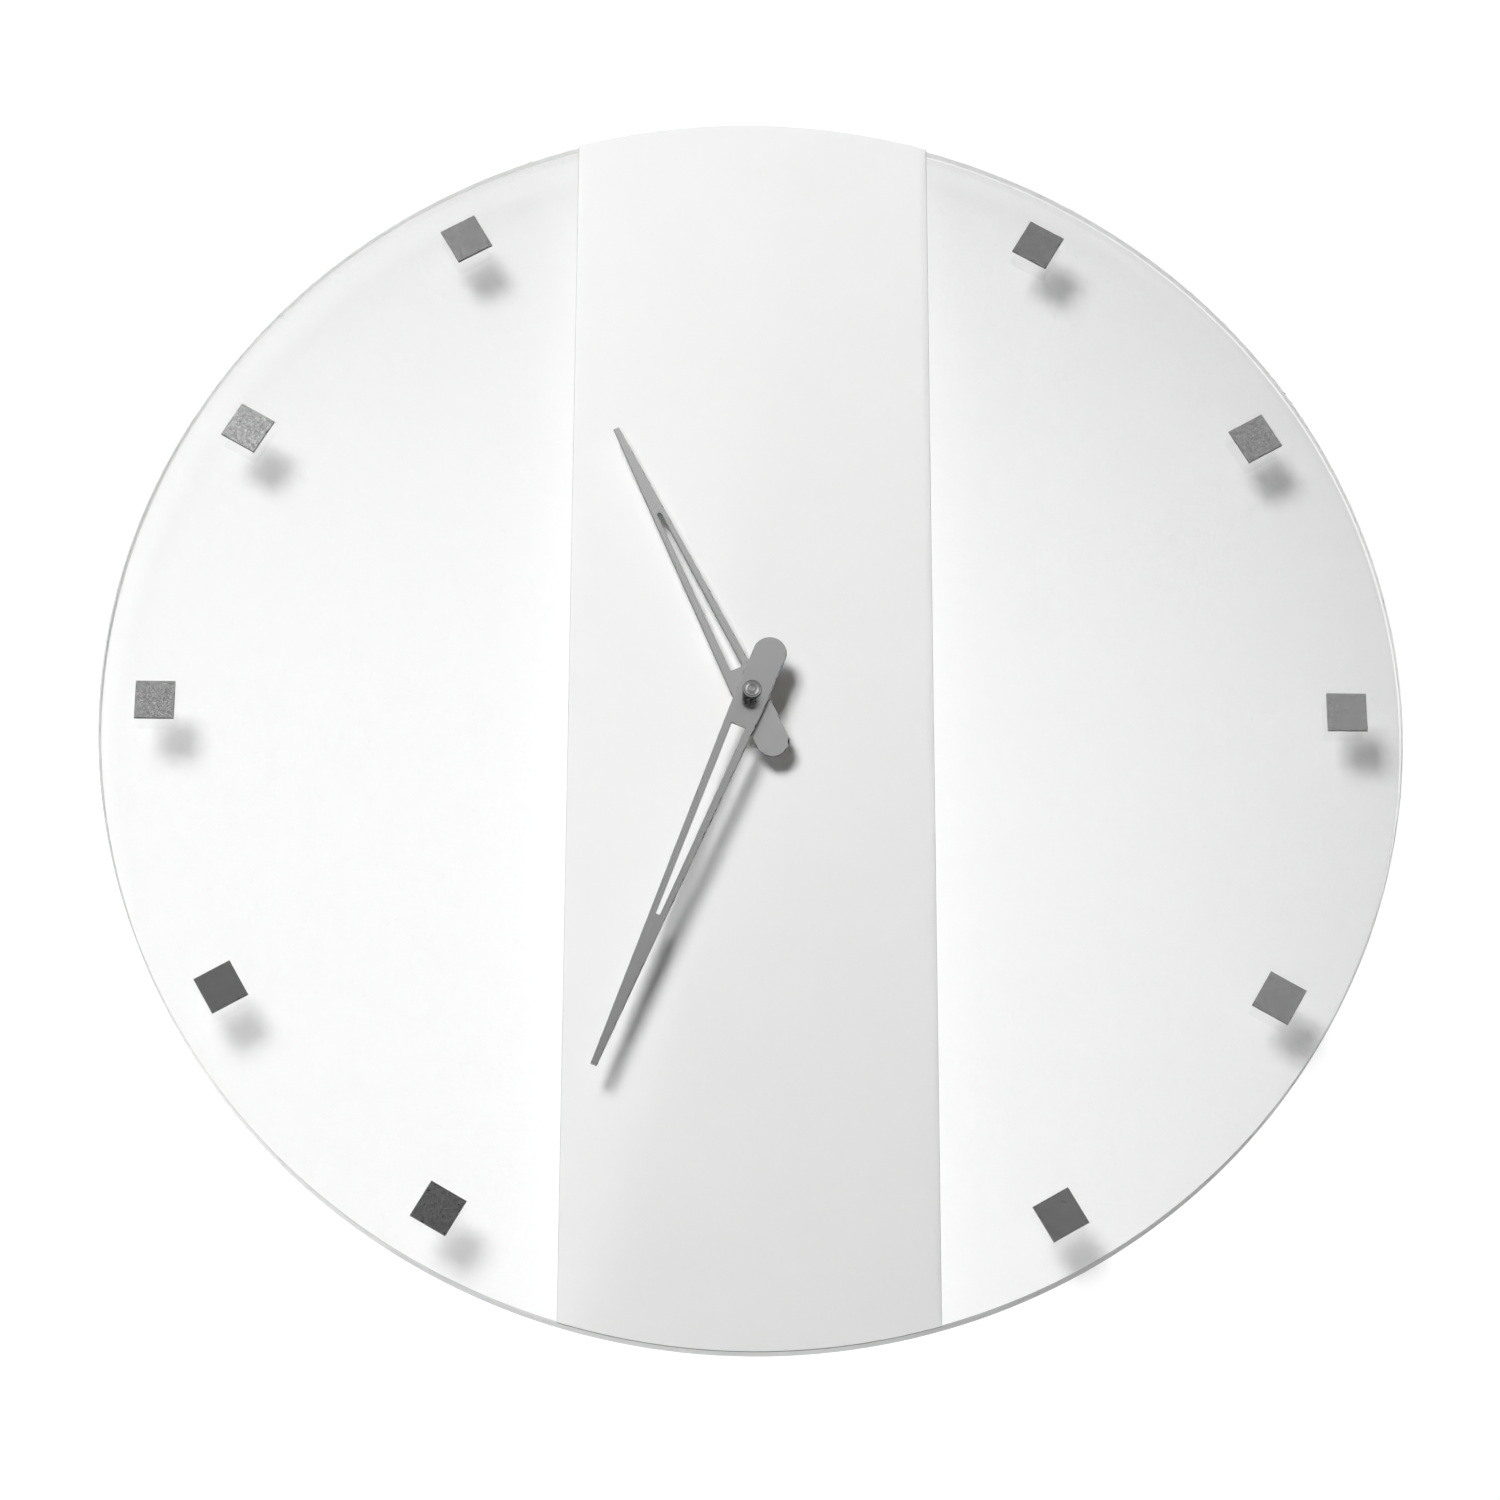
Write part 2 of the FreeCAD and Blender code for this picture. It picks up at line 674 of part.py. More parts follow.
def sketch_slot(sketch, start, end, near_width, far_width):
    """The slot: a trapezium about the hand's centre line."""
    low = value(start)
    high = value(end)
    wide = value(near_width) / 2
    slim = value(far_width) / 2
    corners = [Vector(-wide, low, 0), Vector(wide, low, 0), Vector(slim, high, 0), Vector(-slim, high, 0)]
    first = sketch.GeometryCount
    for index in range(4):
        sketch.addGeometry(Part.LineSegment(corners[index], corners[(index + 1) % 4]), False)
    for index in range(4):
        after = first + (index + 1) % 4
        sketch.addConstraint(Sketcher.Constraint("Coincident", first + index, 2, after, 1))
    for side in (first, first + 2):
        sketch.addConstraint(Sketcher.Constraint("Symmetric", side, 1, side, 2, -2))
    constrain(sketch, near_width, "DistanceX", first, 1, first, 2)
    constrain(sketch, far_width, "DistanceX", first + 2, 2, first + 2, 1)
    constrain(sketch, start, "DistanceY", -1, 1, first, 1)
    constrain(sketch, end, "DistanceY", -1, 1, first + 2, 1)


def make_hand(label, prefix, back, hole):
    """One hand: PREFIX picks its sizes, BACK is the depth of its rear face, HOLE the radius at its hub."""
    body = new_body(label)
    sketch = face_sketch(body, "HandOutline", back)
    sketch_hand(sketch, f"{prefix}_length", f"{prefix}_tip_width")
    sketch_slot(sketch, f"{prefix}_slot_start", f"{prefix}_slot_end",
                f"{prefix}_slot_near_width", f"{prefix}_slot_far_width")
    sketch_circle(sketch, hole)
    plate = pad(body, sketch, "hand_sheet")
    doc.recompute()
    slot_start = value(f"{prefix}_slot_start")
    slot_end = value(f"{prefix}_slot_end")
    slot_corners = edges_of(plate.Shape, lambda edge: near(edge.BoundBox.YLength, value("hand_sheet"))
                            and (near(edge.BoundBox.ZMin, slot_start) or near(edge.BoundBox.ZMin, slot_end)))
    rounded = filleted(body, plate, slot_corners, "hand_slot_corner", "SlotCorners")
    doc.recompute()
    front = value(back) + value("hand_sheet")
    outline = edges_of(rounded.Shape, lambda edge: lies_at(edge, front)
                       and (edge.BoundBox.ZMax > (slot_end + value(f"{prefix}_length")) / 2
                            or edge.BoundBox.ZMin < -value("tail_centre") / 2))
    chamfered(body, rounded, outline, "hand_bevel", "FrontBevel")
    body.Placement = Placement(Vector(0, 0, 0), Rotation(Vector(0, 1, 0), 0))
    bind(body, Placement__Rotation__Angle=f"{prefix}_rest_angle * 1deg")
    return body


def make_hand_bush(label, bore, back):
    """A turned bush through a hand: a flange behind the sheet and a barrel through it."""
    barrel = round_bar(label + "_barrel", f"{bore} + hand_bush_wall", back, "hand_sheet")
    flange = round_bar(label + "_flange", f"{bore} + hand_bush_wall + hand_bush_flange",
                       f"{back} - hand_bush_flange_depth", "hand_bush_flange_depth")
    solid = fused(label + "_solid", barrel, flange)
    length = "hand_sheet + hand_bush_flange_depth + 2 * cut_overrun"
    hole = round_bar(label + "_bore", bore, f"{back} - hand_bush_flange_depth - cut_overrun", length)
    return cut_from(label, solid, hole)


def make_centre_cap():
    """The turned cap that holds the minute hand, bored blind for the arbor."""
    body = new_body("centre_cap")
    disc = face_sketch(body, "CapOutline", "minute_hand_front")
    sketch_circle(disc, "cap_radius")
    barrel = pad(body, disc, "cap_length")
    doc.recompute()
    front = value("minute_hand_front") + value("cap_length")
    rim = edges_of(barrel.Shape, lambda edge: lies_at(edge, front))
    bevel = chamfered(body, barrel, rim, "cap_bevel")
    bore_sketch = face_sketch(body, "CapBore", "minute_hand_front")
    sketch_circle(bore_sketch, "minute_arbor_radius")
    bore = body.newObject("PartDesign::Pocket", "Bore")
    bore.Profile = bore_sketch
    bind(bore, Length="cap_bore_depth")
    bore.Reversed = True
    doc.recompute()
    if not bore.Shape.Volume < bevel.Shape.Volume:
        raise RuntimeError("the bore of the cap cuts nothing")
    return body


# Rear frame: folded sheet behind the glass, narrower than the band, with two keyholes

def sketch_keyhole(sketch, x):
    """A round head hole with a narrower slot rising from it, drawn as one outline."""
    head = value("keyhole_head_radius")
    slim = value("keyhole_slot_radius")
    centre = value(x.replace("0 - ", "")) * (-1 if x.startswith("0") else 1)
    low = value("keyhole_height")
    high = low + value("keyhole_rise")
    shoulder = low + math.sqrt(head * head - slim * slim)
    around = Part.Arc(Vector(centre - slim, shoulder, 0), Vector(centre, low - head, 0),
                      Vector(centre + slim, shoulder, 0))
    over = Part.Arc(Vector(centre + slim, high, 0), Vector(centre, high + slim, 0),
                    Vector(centre - slim, high, 0))
    first = sketch.addGeometry(around, False)
    right = Part.LineSegment(Vector(centre + slim, shoulder, 0), Vector(centre + slim, high, 0))
    sketch.addGeometry(right, False)
    sketch.addGeometry(over, False)
    left = Part.LineSegment(Vector(centre - slim, high, 0), Vector(centre - slim, shoulder, 0))
    sketch.addGeometry(left, False)
    sketch.addConstraint(Sketcher.Constraint("Coincident", first, 2, first + 1, 1))
    sketch.addConstraint(Sketcher.Constraint("Coincident", first + 3, 2, first, 1))
    sketch.addConstraint(Sketcher.Constraint("Tangent", first + 1, 2, first + 2, 1))
    sketch.addConstraint(Sketcher.Constraint("Tangent", first + 2, 2, first + 3, 1))
    sketch.addConstraint(Sketcher.Constraint("Vertical", first + 1))
    constrain(sketch, "keyhole_head_radius", "Radius", first)
    constrain(sketch, "keyhole_slot_radius", "Radius", first + 2)
    constrain(sketch, x, "DistanceX", -1, 1, first, 3)
    constrain(sketch, "keyhole_height", "DistanceY", -1, 1, first, 3)
    constrain(sketch, x, "DistanceX", -1, 1, first + 2, 3)
    constrain(sketch, "keyhole_height + keyhole_rise", "DistanceY", -1, 1, first + 2, 3)


def make_rear_frame():
    body = new_body("rear_frame")
    web = face_sketch(body, "Web", "frame_back")
    side = "frame_width / 2"
    end = "frame_height / 2"
    sketch_rectangle(web, f"0 - {side}", side, f"0 - {end}", end)
    sketch_circle(web, "movement_hole_radius")
    for x, z in STUD_PLACES:
        sketch_circle(web, "stud_hole_radius", x, z)
    for x in ("keyhole_offset_x", "0 - keyhole_offset_x"):
        sketch_keyhole(web, x)
    pad(body, web, "frame_sheet", "WebPad")
    flanges = face_sketch(body, "Flanges", "frame_flange_setback")
    sketch_rectangle(flanges, f"0 - {side}", f"frame_sheet - {side}", f"0 - {end}", end)
    sketch_rectangle(flanges, f"{side} - frame_sheet", side, f"0 - {end}", end)
    folded = pad(body, flanges, "frame_back - frame_flange_setback", "FlangePad")
    doc.recompute()
    front = value("frame_front")
    half = value("frame_width") / 2
    folds = edges_of(folded.Shape, lambda edge: lies_at(edge, front)
                     and near(abs(edge.BoundBox.Center.x), half))
    filleted(body, folded, folds, "frame_fold_radius", "Folds")
    return body


def make_wall_bumpers():
    """Rubber feet between the frame and the wall, at its four corners."""
    feet = []
    for index, (x, z) in enumerate(BUMPER_PLACES, start=1):
        foot = round_bar(f"Bumper{index}", "bumper_radius", "0", "frame_back", x, z)
        soft = doc.addObject("Part::Fillet", f"BumperEdge{index}")
        soft.Base = foot
        doc.recompute()
        radius = value("bumper_edge")
        soft.Edges = [(place, radius, radius) for place, edge in enumerate(foot.Shape.Edges, start=1)
                      if lies_at(edge, 0)]
        feet.append(soft)
    return kept_apart("wall_bumpers", *feet)


# Centre fixing of the movement through the band

def make_centre_fixing():
    """The rubber washer behind the band, and the washer and nut in front of it."""
    hole = "bush_thread_radius + bush_clearance"
    rubber = ring("rubber_washer", "rubber_washer_radius", hole, "case_front", "rubber_washer_thickness")
    face = ring("face_washer", "face_washer_radius", hole, "band_front", "face_washer_thickness")
    nut = hexagon("centre_nut", "centre_nut_flats", "bush_thread_radius",
                  "band_front + face_washer_thickness", "centre_nut_thickness")
    return [rubber, face, nut]


def make_threaded_bush():
    """The threaded neck of the movement: a flange inside the case wall and a bored barrel."""
    start = "case_inner_front"
    barrel = round_bar("Bush_barrel", "bush_thread_radius", start, "bush_length - bush_nose_bevel")
    flange = round_bar("Bush_flange", "bush_flange_radius", start, "bush_flange_thickness")
    nose = doc.addObject("Part::Cone", "Bush_nose")
    nose.Placement = Placement(Vector(0, 0, 0), Rotation(Vector(1, 0, 0), 90))
    bind(nose, Radius1="bush_thread_radius", Radius2="bush_thread_radius - bush_nose_bevel",
         Height="bush_nose_bevel")
    bind(nose, Placement__Base__y="bush_nose_bevel - case_inner_front - bush_length")
    solid = fused("Bush_solid", barrel, flange, nose)
    bore = round_bar("Bush_bore", "bush_bore_radius", "case_inner_front - cut_overrun",
                     "bush_length + 2 * cut_overrun")
    return cut_from("threaded_bush", solid, bore)


# Movement case: a moulded tray with a battery bay, and a cover over the wheels

def rounded_square(half, corner, back, front):
    """A square bar with rounded corners."""
    bar = block(-half, half, -half, half, back, front)
    upright = [edge for edge in bar.Edges if near(edge.BoundBox.YLength, front - back)]
    return bar.makeFillet(corner, upright)


def side_prism(points, left, right):
    """A prism along X whose outline is the closed list of (z, depth) POINTS."""
    corners = [at_depth(left, depth, z) for z, depth in points]
    face = Part.Face(Part.makePolygon(corners + corners[:1]))
    return face.extrude(Vector(right - left, 0, 0))


def snap_sides():
    """Where the cover's snap arms stand: the middle of each, its outer face and the way its hook points."""
    gap = value("case_clearance")
    upper = value("case_inner_half") - gap
    lower = value("bay_divider_top") + gap
    return [(x, face, way) for face, way in ((upper, 1), (lower, -1))
            for x in (-value("snap_offset"), value("snap_offset"))]


def snap_tip():
    """The depth that the snap arms reach."""
    return value("cover_inner") + value("snap_reach")


def snap_arm(x, face, way):
    """One arm of the cover, whose hook slopes towards its tip so that it rides over the wall."""
    half = value("snap_width") / 2
    root = value("case_back")
    tip = snap_tip()
    heel = tip - value("snap_hook_depth")
    out = face + way * value("snap_hook")
    inside = face - way * value("snap_wall")
    outline = [(inside, root), (face, root), (face, heel), (out, heel), (face, tip), (inside, tip)]
    return side_prism(outline, x - half, x + half)


def snap_window(x, face, way):
    """The window of the case that the arm's hook springs into."""
    gap = value("case_clearance")
    half = value("snap_width") / 2 + gap
    over = value("cut_overrun")
    near_side = face - way * over
    far_side = face + way * (gap + value("case_wall") + over)
    heel = snap_tip() - value("snap_hook_depth")
    return block(x - half, x + half, min(near_side, far_side), max(near_side, far_side),
                 heel - gap, snap_tip() + gap)


def make_case_front():
    back = value("case_back")
    front = value("case_front")
    inner = value("case_inner_half")
    floor = value("case_inner_front")
    over = value("cut_overrun")
    divider = value("bay_divider_top")
    shell = rounded_square(value("case_half"), value("case_corner"), back, front)
    wheels = block(-inner, inner, divider, inner, back - over, floor)
    bay = block(-inner, inner, -inner, divider - value("bay_divider"), back - over, floor)
    neck = rod(centre_arbor, value("bush_thread_radius"), floor - over, front + over)
    seat = rod(centre_arbor, value("bush_flange_radius"), floor - over,
               floor + value("bush_flange_thickness"))
    pivot = rod(motion_arbor, value("motion_pivot_radius") + value("running_clearance"),
                floor - over, floor + value("motion_pivot_length"))
    windows = [snap_window(*place) for place in snap_sides()]
    notch = Part.makeCylinder(value("finger_notch_radius"), value("case_wall") + 2 * over,
                              at_depth(0, back, -value("case_half") - over), Vector(0, 0, 1))
    return node("movement_case", shell.cut([wheels, bay, neck, seat, pivot, notch, *windows]))


def make_case_cover():
    back = value("case_back")
    inner = value("cover_inner")
    gap = value("case_clearance")
    half = value("case_inner_half") - gap
    over = value("cut_overrun")
    plate = block(-half, half, value("bay_divider_top") + gap, half, back, inner)
    cup = rod(motion_arbor, value("recess_radius") + value("recess_wall"), back, value("recess_inner"))
    bosses = [rod(place, value("boss_radius"), back, value("boss_front"))
              for place in (centre_arbor, third_arbor, second_arbor, step_arbor, rotor_arbor)]
    arms = [snap_arm(*place) for place in snap_sides()]
    solid = joined(plate, cup, *bosses, *arms)
    recess = rod(motion_arbor, value("recess_radius"), back - over, value("recess_floor"))
    shaft = rod(motion_arbor, value("arbor_shaft_radius") + value("running_clearance"),
                back - over, value("recess_inner") + over)
    pivots = [rod(place, value("pivot_radius") + value("running_clearance"),
                  value("boss_front") - value("pivot_length"), value("boss_front") + over)
              for place in (centre_arbor, third_arbor, second_arbor, step_arbor, rotor_arbor)]
    return node("movement_cover", solid.cut([recess, shaft, *pivots]))


# Gears: each tooth has a root, a pitch and a tip width, and small pinions have slimmer roots

def gear_outline(centre, teeth, module, phase):
    """The closed (x, z) outline of a gear with a tooth centred at the clock angle PHASE."""
    few = teeth < FEW_TEETH
    pitch_radius = module * teeth / 2
    root_radius = pitch_radius - DEDENDUM_SHARE * module
    tip_radius = pitch_radius + (PINION_ADDENDUM_SHARE if few else WHEEL_ADDENDUM_SHARE) * module
    root_share = PINION_ROOT_SHARE if few else TOOTH_ROOT_SHARE
    step = 360.0 / teeth
    stations = ((root_radius, root_share), (pitch_radius, TOOTH_PITCH_SHARE), (tip_radius, TOOTH_TIP_SHARE))
    points = []
    for tooth in range(teeth):
        middle = phase + step * tooth
        for radius, share in stations:
            points.append(polar(centre, radius, middle - step * share / 2))
        for radius, share in reversed(stations):
            points.append(polar(centre, radius, middle + step * share / 2))
    return points


def gear(centre, teeth, module, phase, back, front):
    """A toothed disc."""
    return prism(gear_outline(centre, teeth, module, phase), back, front)


def direction(start, end):
    """The clock angle from START to END."""
    return math.degrees(math.atan2(end[0] - start[0], end[1] - start[1]))


def tooth_towards(start, end):
    """A phase that puts a tooth on the line of centres."""
    return direction(start, end)


def gap_towards(start, end, teeth):
    """A phase that puts a gap on the line of centres."""
    return direction(start, end) + 180.0 / teeth


def make_hour_wheel():
    """The hour wheel and its pipe, which carries the hour hand."""
    module = value("motion_module")
    back = value("hour_wheel_back")
    front = value("hour_wheel_front")
    disc = gear(centre_arbor, HOUR_WHEEL_TEETH, module,
                tooth_towards(centre_arbor, motion_arbor), back, front)
    pipe = rod(centre_arbor, value("hour_pipe_radius"), back, value("hour_hand_front"))
    over = value("cut_overrun")
    bore = rod(centre_arbor, value("pipe_bore_radius"), back - over, value("hour_hand_front") + over)
    return node("hour_wheel", joined(disc, pipe).cut(bore))


def make_minute_arbor():
    """The centre arbor with its cannon pinion; the minute hand and cap sit on its front end."""
    module = value("motion_module")
    pinion_back = value("cannon_back")
    pinion_front = value("hour_wheel_back") - value("cannon_end_gap")
    pinion = gear(centre_arbor, CANNON_TEETH, module,
                  gap_towards(centre_arbor, motion_arbor, CANNON_TEETH), pinion_back, pinion_front)
    arbor = rod(centre_arbor, value("minute_arbor_radius"), pinion_front, value("minute_arbor_front"))
    boss = value("boss_front")
    shaft = rod(centre_arbor, value("arbor_shaft_radius"), boss, pinion_back)
    pivot = rod(centre_arbor, value("pivot_radius"), boss - value("pivot_length") / 2, boss)
    return node("minute_arbor", joined(pinion, arbor, shaft, pivot))


def make_motion_wheel():
    """The motion wheel with its pinion, on the shaft that the setting knob turns."""
    module = value("motion_module")
    wheel_back = value("motion_wheel_back")
    wheel_front = value("motion_wheel_front")
    wheel = gear(motion_arbor, MOTION_WHEEL_TEETH, module,
                 tooth_towards(motion_arbor, centre_arbor), wheel_back, wheel_front)
    pinion_front = value("hour_wheel_front")
    pinion = gear(motion_arbor, MOTION_PINION_TEETH, module,
                  gap_towards(motion_arbor, centre_arbor, MOTION_PINION_TEETH), wheel_front, pinion_front)
    pivot_front = value("case_inner_front") + value("motion_pivot_length") / 2
    pivot = rod(motion_arbor, value("motion_pivot_radius"), pinion_front, pivot_front)
    knob_back = value("case_back") + value("knob_recess_gap")
    shaft = rod(motion_arbor, value("arbor_shaft_radius"), knob_back, wheel_back)
    return node("motion_wheel", joined(wheel, pinion, pivot, shaft))


def make_setting_knob():
    """The knob in the cover's recess, with a scalloped rim."""
    back = value("case_back") + value("knob_recess_gap")
    front = back + value("knob_thickness")
    disc = rod(motion_arbor, value("knob_radius"), back, front)
    over = value("cut_overrun")
    scallops = []
    for index in range(KNOB_GRIPS):
        place = polar(motion_arbor, value("knob_radius"), 360.0 * index / KNOB_GRIPS)
        scallops.append(rod(place, value("knob_grip_radius"), back - over, front + over))
    bore = rod(motion_arbor, value("arbor_shaft_radius"), back - over, front + over)
    return node("setting_knob", disc.cut([*scallops, bore]))


# Going train: each arbor has a wheel and, in front of it, the pinion that meets the wheel before

def make_train_arbor(label, place, teeth, wheel_module, wheel_name, before, after):
    """One moulded wheel with its pinion and pivots, between the train plate and the cover."""
    wheel_front = value(wheel_name)
    wheel_back = wheel_front - value("train_wheel_thickness")
    overlap = value("train_pinion_overlap")
    pinion_front = wheel_front + value("train_layer_pitch") + overlap
    module = value("train_module")
    wheel = gear(place, teeth, wheel_module, tooth_towards(place, after), wheel_back, wheel_front)
    pinion = gear(place, TRAIN_PINION_TEETH, module,
                  gap_towards(place, before, TRAIN_PINION_TEETH), wheel_front, pinion_front)
    boss = value("boss_front")
    plate = value("plate_back")
    shaft = rod(place, value("train_shaft_radius"), boss, plate)
    half_pivot = value("pivot_length") / 2
    pivots = rod(place, value("pivot_radius"), boss - half_pivot, plate + half_pivot)
    return node(label, joined(wheel, pinion, shaft, pivots))


def make_centre_wheel():
    """The centre wheel, which grips the minute arbor by friction and slips when the hands are set."""
    front = value("centre_wheel_front")
    back = front - value("train_wheel_thickness")
    over = value("cut_overrun")
    disc = gear(centre_arbor, CENTRE_WHEEL_TEETH, value("train_module"),
                tooth_towards(centre_arbor, third_arbor), back, front)
    bore = rod(centre_arbor, value("arbor_shaft_radius") + value("running_clearance"),
               back - over, front + over)
    return node("centre_wheel", disc.cut(bore))


def make_rotor():
    """The motor's rotor: a moulded pinion and shaft through a ring magnet."""
    module = value("rotor_module")
    wheel_front = value("step_wheel_front")
    overlap = value("train_pinion_overlap")
    pinion_back = wheel_front - value("train_wheel_thickness") - overlap
    phase = gap_towards(rotor_arbor, step_arbor, TRAIN_PINION_TEETH)
    pinion = gear(rotor_arbor, TRAIN_PINION_TEETH, module, phase, pinion_back, wheel_front + overlap)
    boss = value("boss_front")
    plate = value("plate_back")
    shaft = rod(rotor_arbor, value("train_shaft_radius"), boss, plate)
    half_pivot = value("pivot_length") / 2
    pivots = rod(rotor_arbor, value("pivot_radius"), boss - half_pivot, plate + half_pivot)
    magnet = rod(rotor_arbor, value("rotor_magnet_radius"), value("rotor_magnet_back"),
                 value("rotor_magnet_front"))
    bore = rod(rotor_arbor, value("train_shaft_radius"), boss, plate)
    return [node("rotor_pinion", joined(pinion, shaft, pivots)), node("rotor_magnet", magnet.cut(bore))]


# Train plate: the moulded plate between the motion work and the going train

def board_posts():
    """The places of the two posts that carry the circuit board."""
    x = value("board_left") + value("board_width") / 2
    inset = value("board_post_inset")
    low = value("board_bottom") + inset
    return (x, low), (x, low + value("board_height") - 2 * inset)


def coil_span():
    """The left, right, bottom and top of the window that the coil stands in."""
    left = rotor_arbor[0] + value("rotor_magnet_radius") + value("stator_hole_gap") + value("stator_web")
    return left, value("stator_right"), value("stator_bottom") + value("stator_arm"), \
        value("stator_top") - value("stator_arm")


def make_train_plate():
    back = value("plate_back")
    front = value("plate_front")
    over = value("cut_overrun")
    gap = value("case_clearance")
    half = value("case_inner_half") - gap
    clearance = value("running_clearance")
    plate = block(-half, half, value("bay_divider_top") + gap, half, back, front)
    board_front = value("board_depth") + value("board_thickness")
    posts = [rod(place, value("board_post_radius"), board_front, back) for place in board_posts()]
    stakes = [rod(place, value("board_stake_radius"), value("board_depth"), board_front)
              for place in board_posts()]
    solid = joined(plate, *posts, *stakes)
    cuts = [rod(place, value("arbor_shaft_radius") + clearance, back - over, front + over)
            for place in (centre_arbor, motion_arbor)]
    cuts += [rod(place, value("pivot_radius") + clearance, back - over, front + over)
             for place in (third_arbor, second_arbor, step_arbor, rotor_arbor)]
    left, right, bottom, top = coil_span()
    cuts.append(block(left, right + over, bottom, top, back - over, front + over))
    return node("train_plate", solid.cut(cuts))


# Motor: a laminated stator round the magnet, and a coil on a core across its arms

def make_stator():
    front = value("stator_front")
    back = value("stator_back")
    over = value("cut_overrun")
    left, right, bottom, top = coil_span()
    outer = value("rotor_magnet_radius") + value("stator_hole_gap") + value("stator_rim")
    plate = block(rotor_arbor[0] - outer, right, value("stator_bottom"), value("stator_top"), back, front)
    window = block(left, right + over, bottom, top, back - over, front + over)
    hole = rod(rotor_arbor, value("rotor_magnet_radius") + value("stator_hole_gap"),
               back - over, front + over)
    return node("stator", plate.cut([window, hole]))


def make_coil():
    """The core bar, the bobbin moulded round it and the wound copper wire."""
    left, right, bottom, top = coil_span()
    middle = (left + right) / 2
    core_back = value("stator_front")
    core_front = core_back + value("core_thickness")
    half = value("core_width") / 2
    reach = value("core_overrun")
    core = block(middle - half, middle + half, value("stator_bottom") + reach, value("stator_top") - reach,
                 core_back, core_front)
    wall = value("bobbin_wall")
    over = value("cut_overrun")
    gap = value("bobbin_gap")
    low = bottom + gap
    high = top - gap
    sleeve_half = half + wall
    sleeve = block(middle - sleeve_half, middle + sleeve_half, low, high,
                   core_back - wall, core_front + wall)
    flange_half = (right - left) / 2 - gap
    centre_depth = (core_back + core_front) / 2
    flange = value("bobbin_flange")
    ends = [block(middle - flange_half, middle + flange_half, start, start + flange,
                  centre_depth - flange_half, centre_depth + flange_half) for start in (low, high - flange)]
    slot = block(middle - half, middle + half, low - over, high + over, core_back, core_front)
    bobbin = joined(sleeve, *ends).cut(slot)
    wound = Part.makeCylinder(flange_half - value("winding_flange_margin"), high - low - 2 * flange,
                              at_depth(middle, centre_depth, low + flange), Vector(0, 0, 1))
    winding = wound.cut(sleeve)
    return [node("coil_core", core), node("coil_bobbin", bobbin), node("coil_winding", winding)]


# Electronics and battery

def make_board():
    back = value("board_depth")
    front = back + value("board_thickness")
    over = value("cut_overrun")
    left = value("board_left")
    bottom = value("board_bottom")
    right = left + value("board_width")
    top = bottom + value("board_height")
    board = block(left, right, bottom, top, back, front)
    holes = [rod(place, value("board_stake_radius") + value("running_clearance"), back - over, front + over)
             for place in board_posts()]
    middle = (left + right) / 2
    centre = (bottom + top) / 2
    chip = rod((middle, centre), value("chip_radius"), front, front + value("chip_height"))
    chip = chip.makeFillet(value("chip_height") / 2,
                           [edge for edge in chip.Edges if lies_at(edge, front + value("chip_height"))])
    start = centre + value("chip_radius") + value("crystal_radius")
    crystal = Part.makeCylinder(value("crystal_radius"), value("crystal_length"),
                                at_depth(middle - value("crystal_length") / 2,
                                         front + value("crystal_radius"), start), Vector(1, 0, 0))
    return [node("circuit_board", board.cut(holes)), node("clock_chip", chip),
            node("quartz_crystal", crystal)]


def make_battery():
    depth = value("battery_depth")
    height = value("battery_height")
    left = value("battery_left")
    can = Part.makeCylinder(value("battery_radius"), value("battery_length"),
                            at_depth(left, depth, height), Vector(1, 0, 0))
    nub = Part.makeCylinder(value("battery_nub_radius"), value("battery_nub_length"),
                            at_depth(left + value("battery_length"), depth, height), Vector(1, 0, 0))
    return node("battery", joined(can, nub))


def make_contacts():
    """A flat plate at the positive end and a bent leaf at the negative end."""
    thick = value("contact_sheet")
    half = value("contact_half_height")
    height = value("battery_height")
    depth = value("battery_depth")
    back = depth - value("contact_width") / 2
    front = depth + value("contact_width") / 2
    wall = value("case_inner_half")
    plate = block(wall - thick, wall, height - half, height + half, back, front)
    left = value("battery_left")
    bent = [(-wall, height - half), (left - thick, height), (-wall, height + half),
            (-wall, height + half + thick), (left, height + thick), (left, height - thick),
            (-wall, height - half - thick)]
    return [node("contact_positive", plate), node("contact_negative", prism(bent, back, front))]


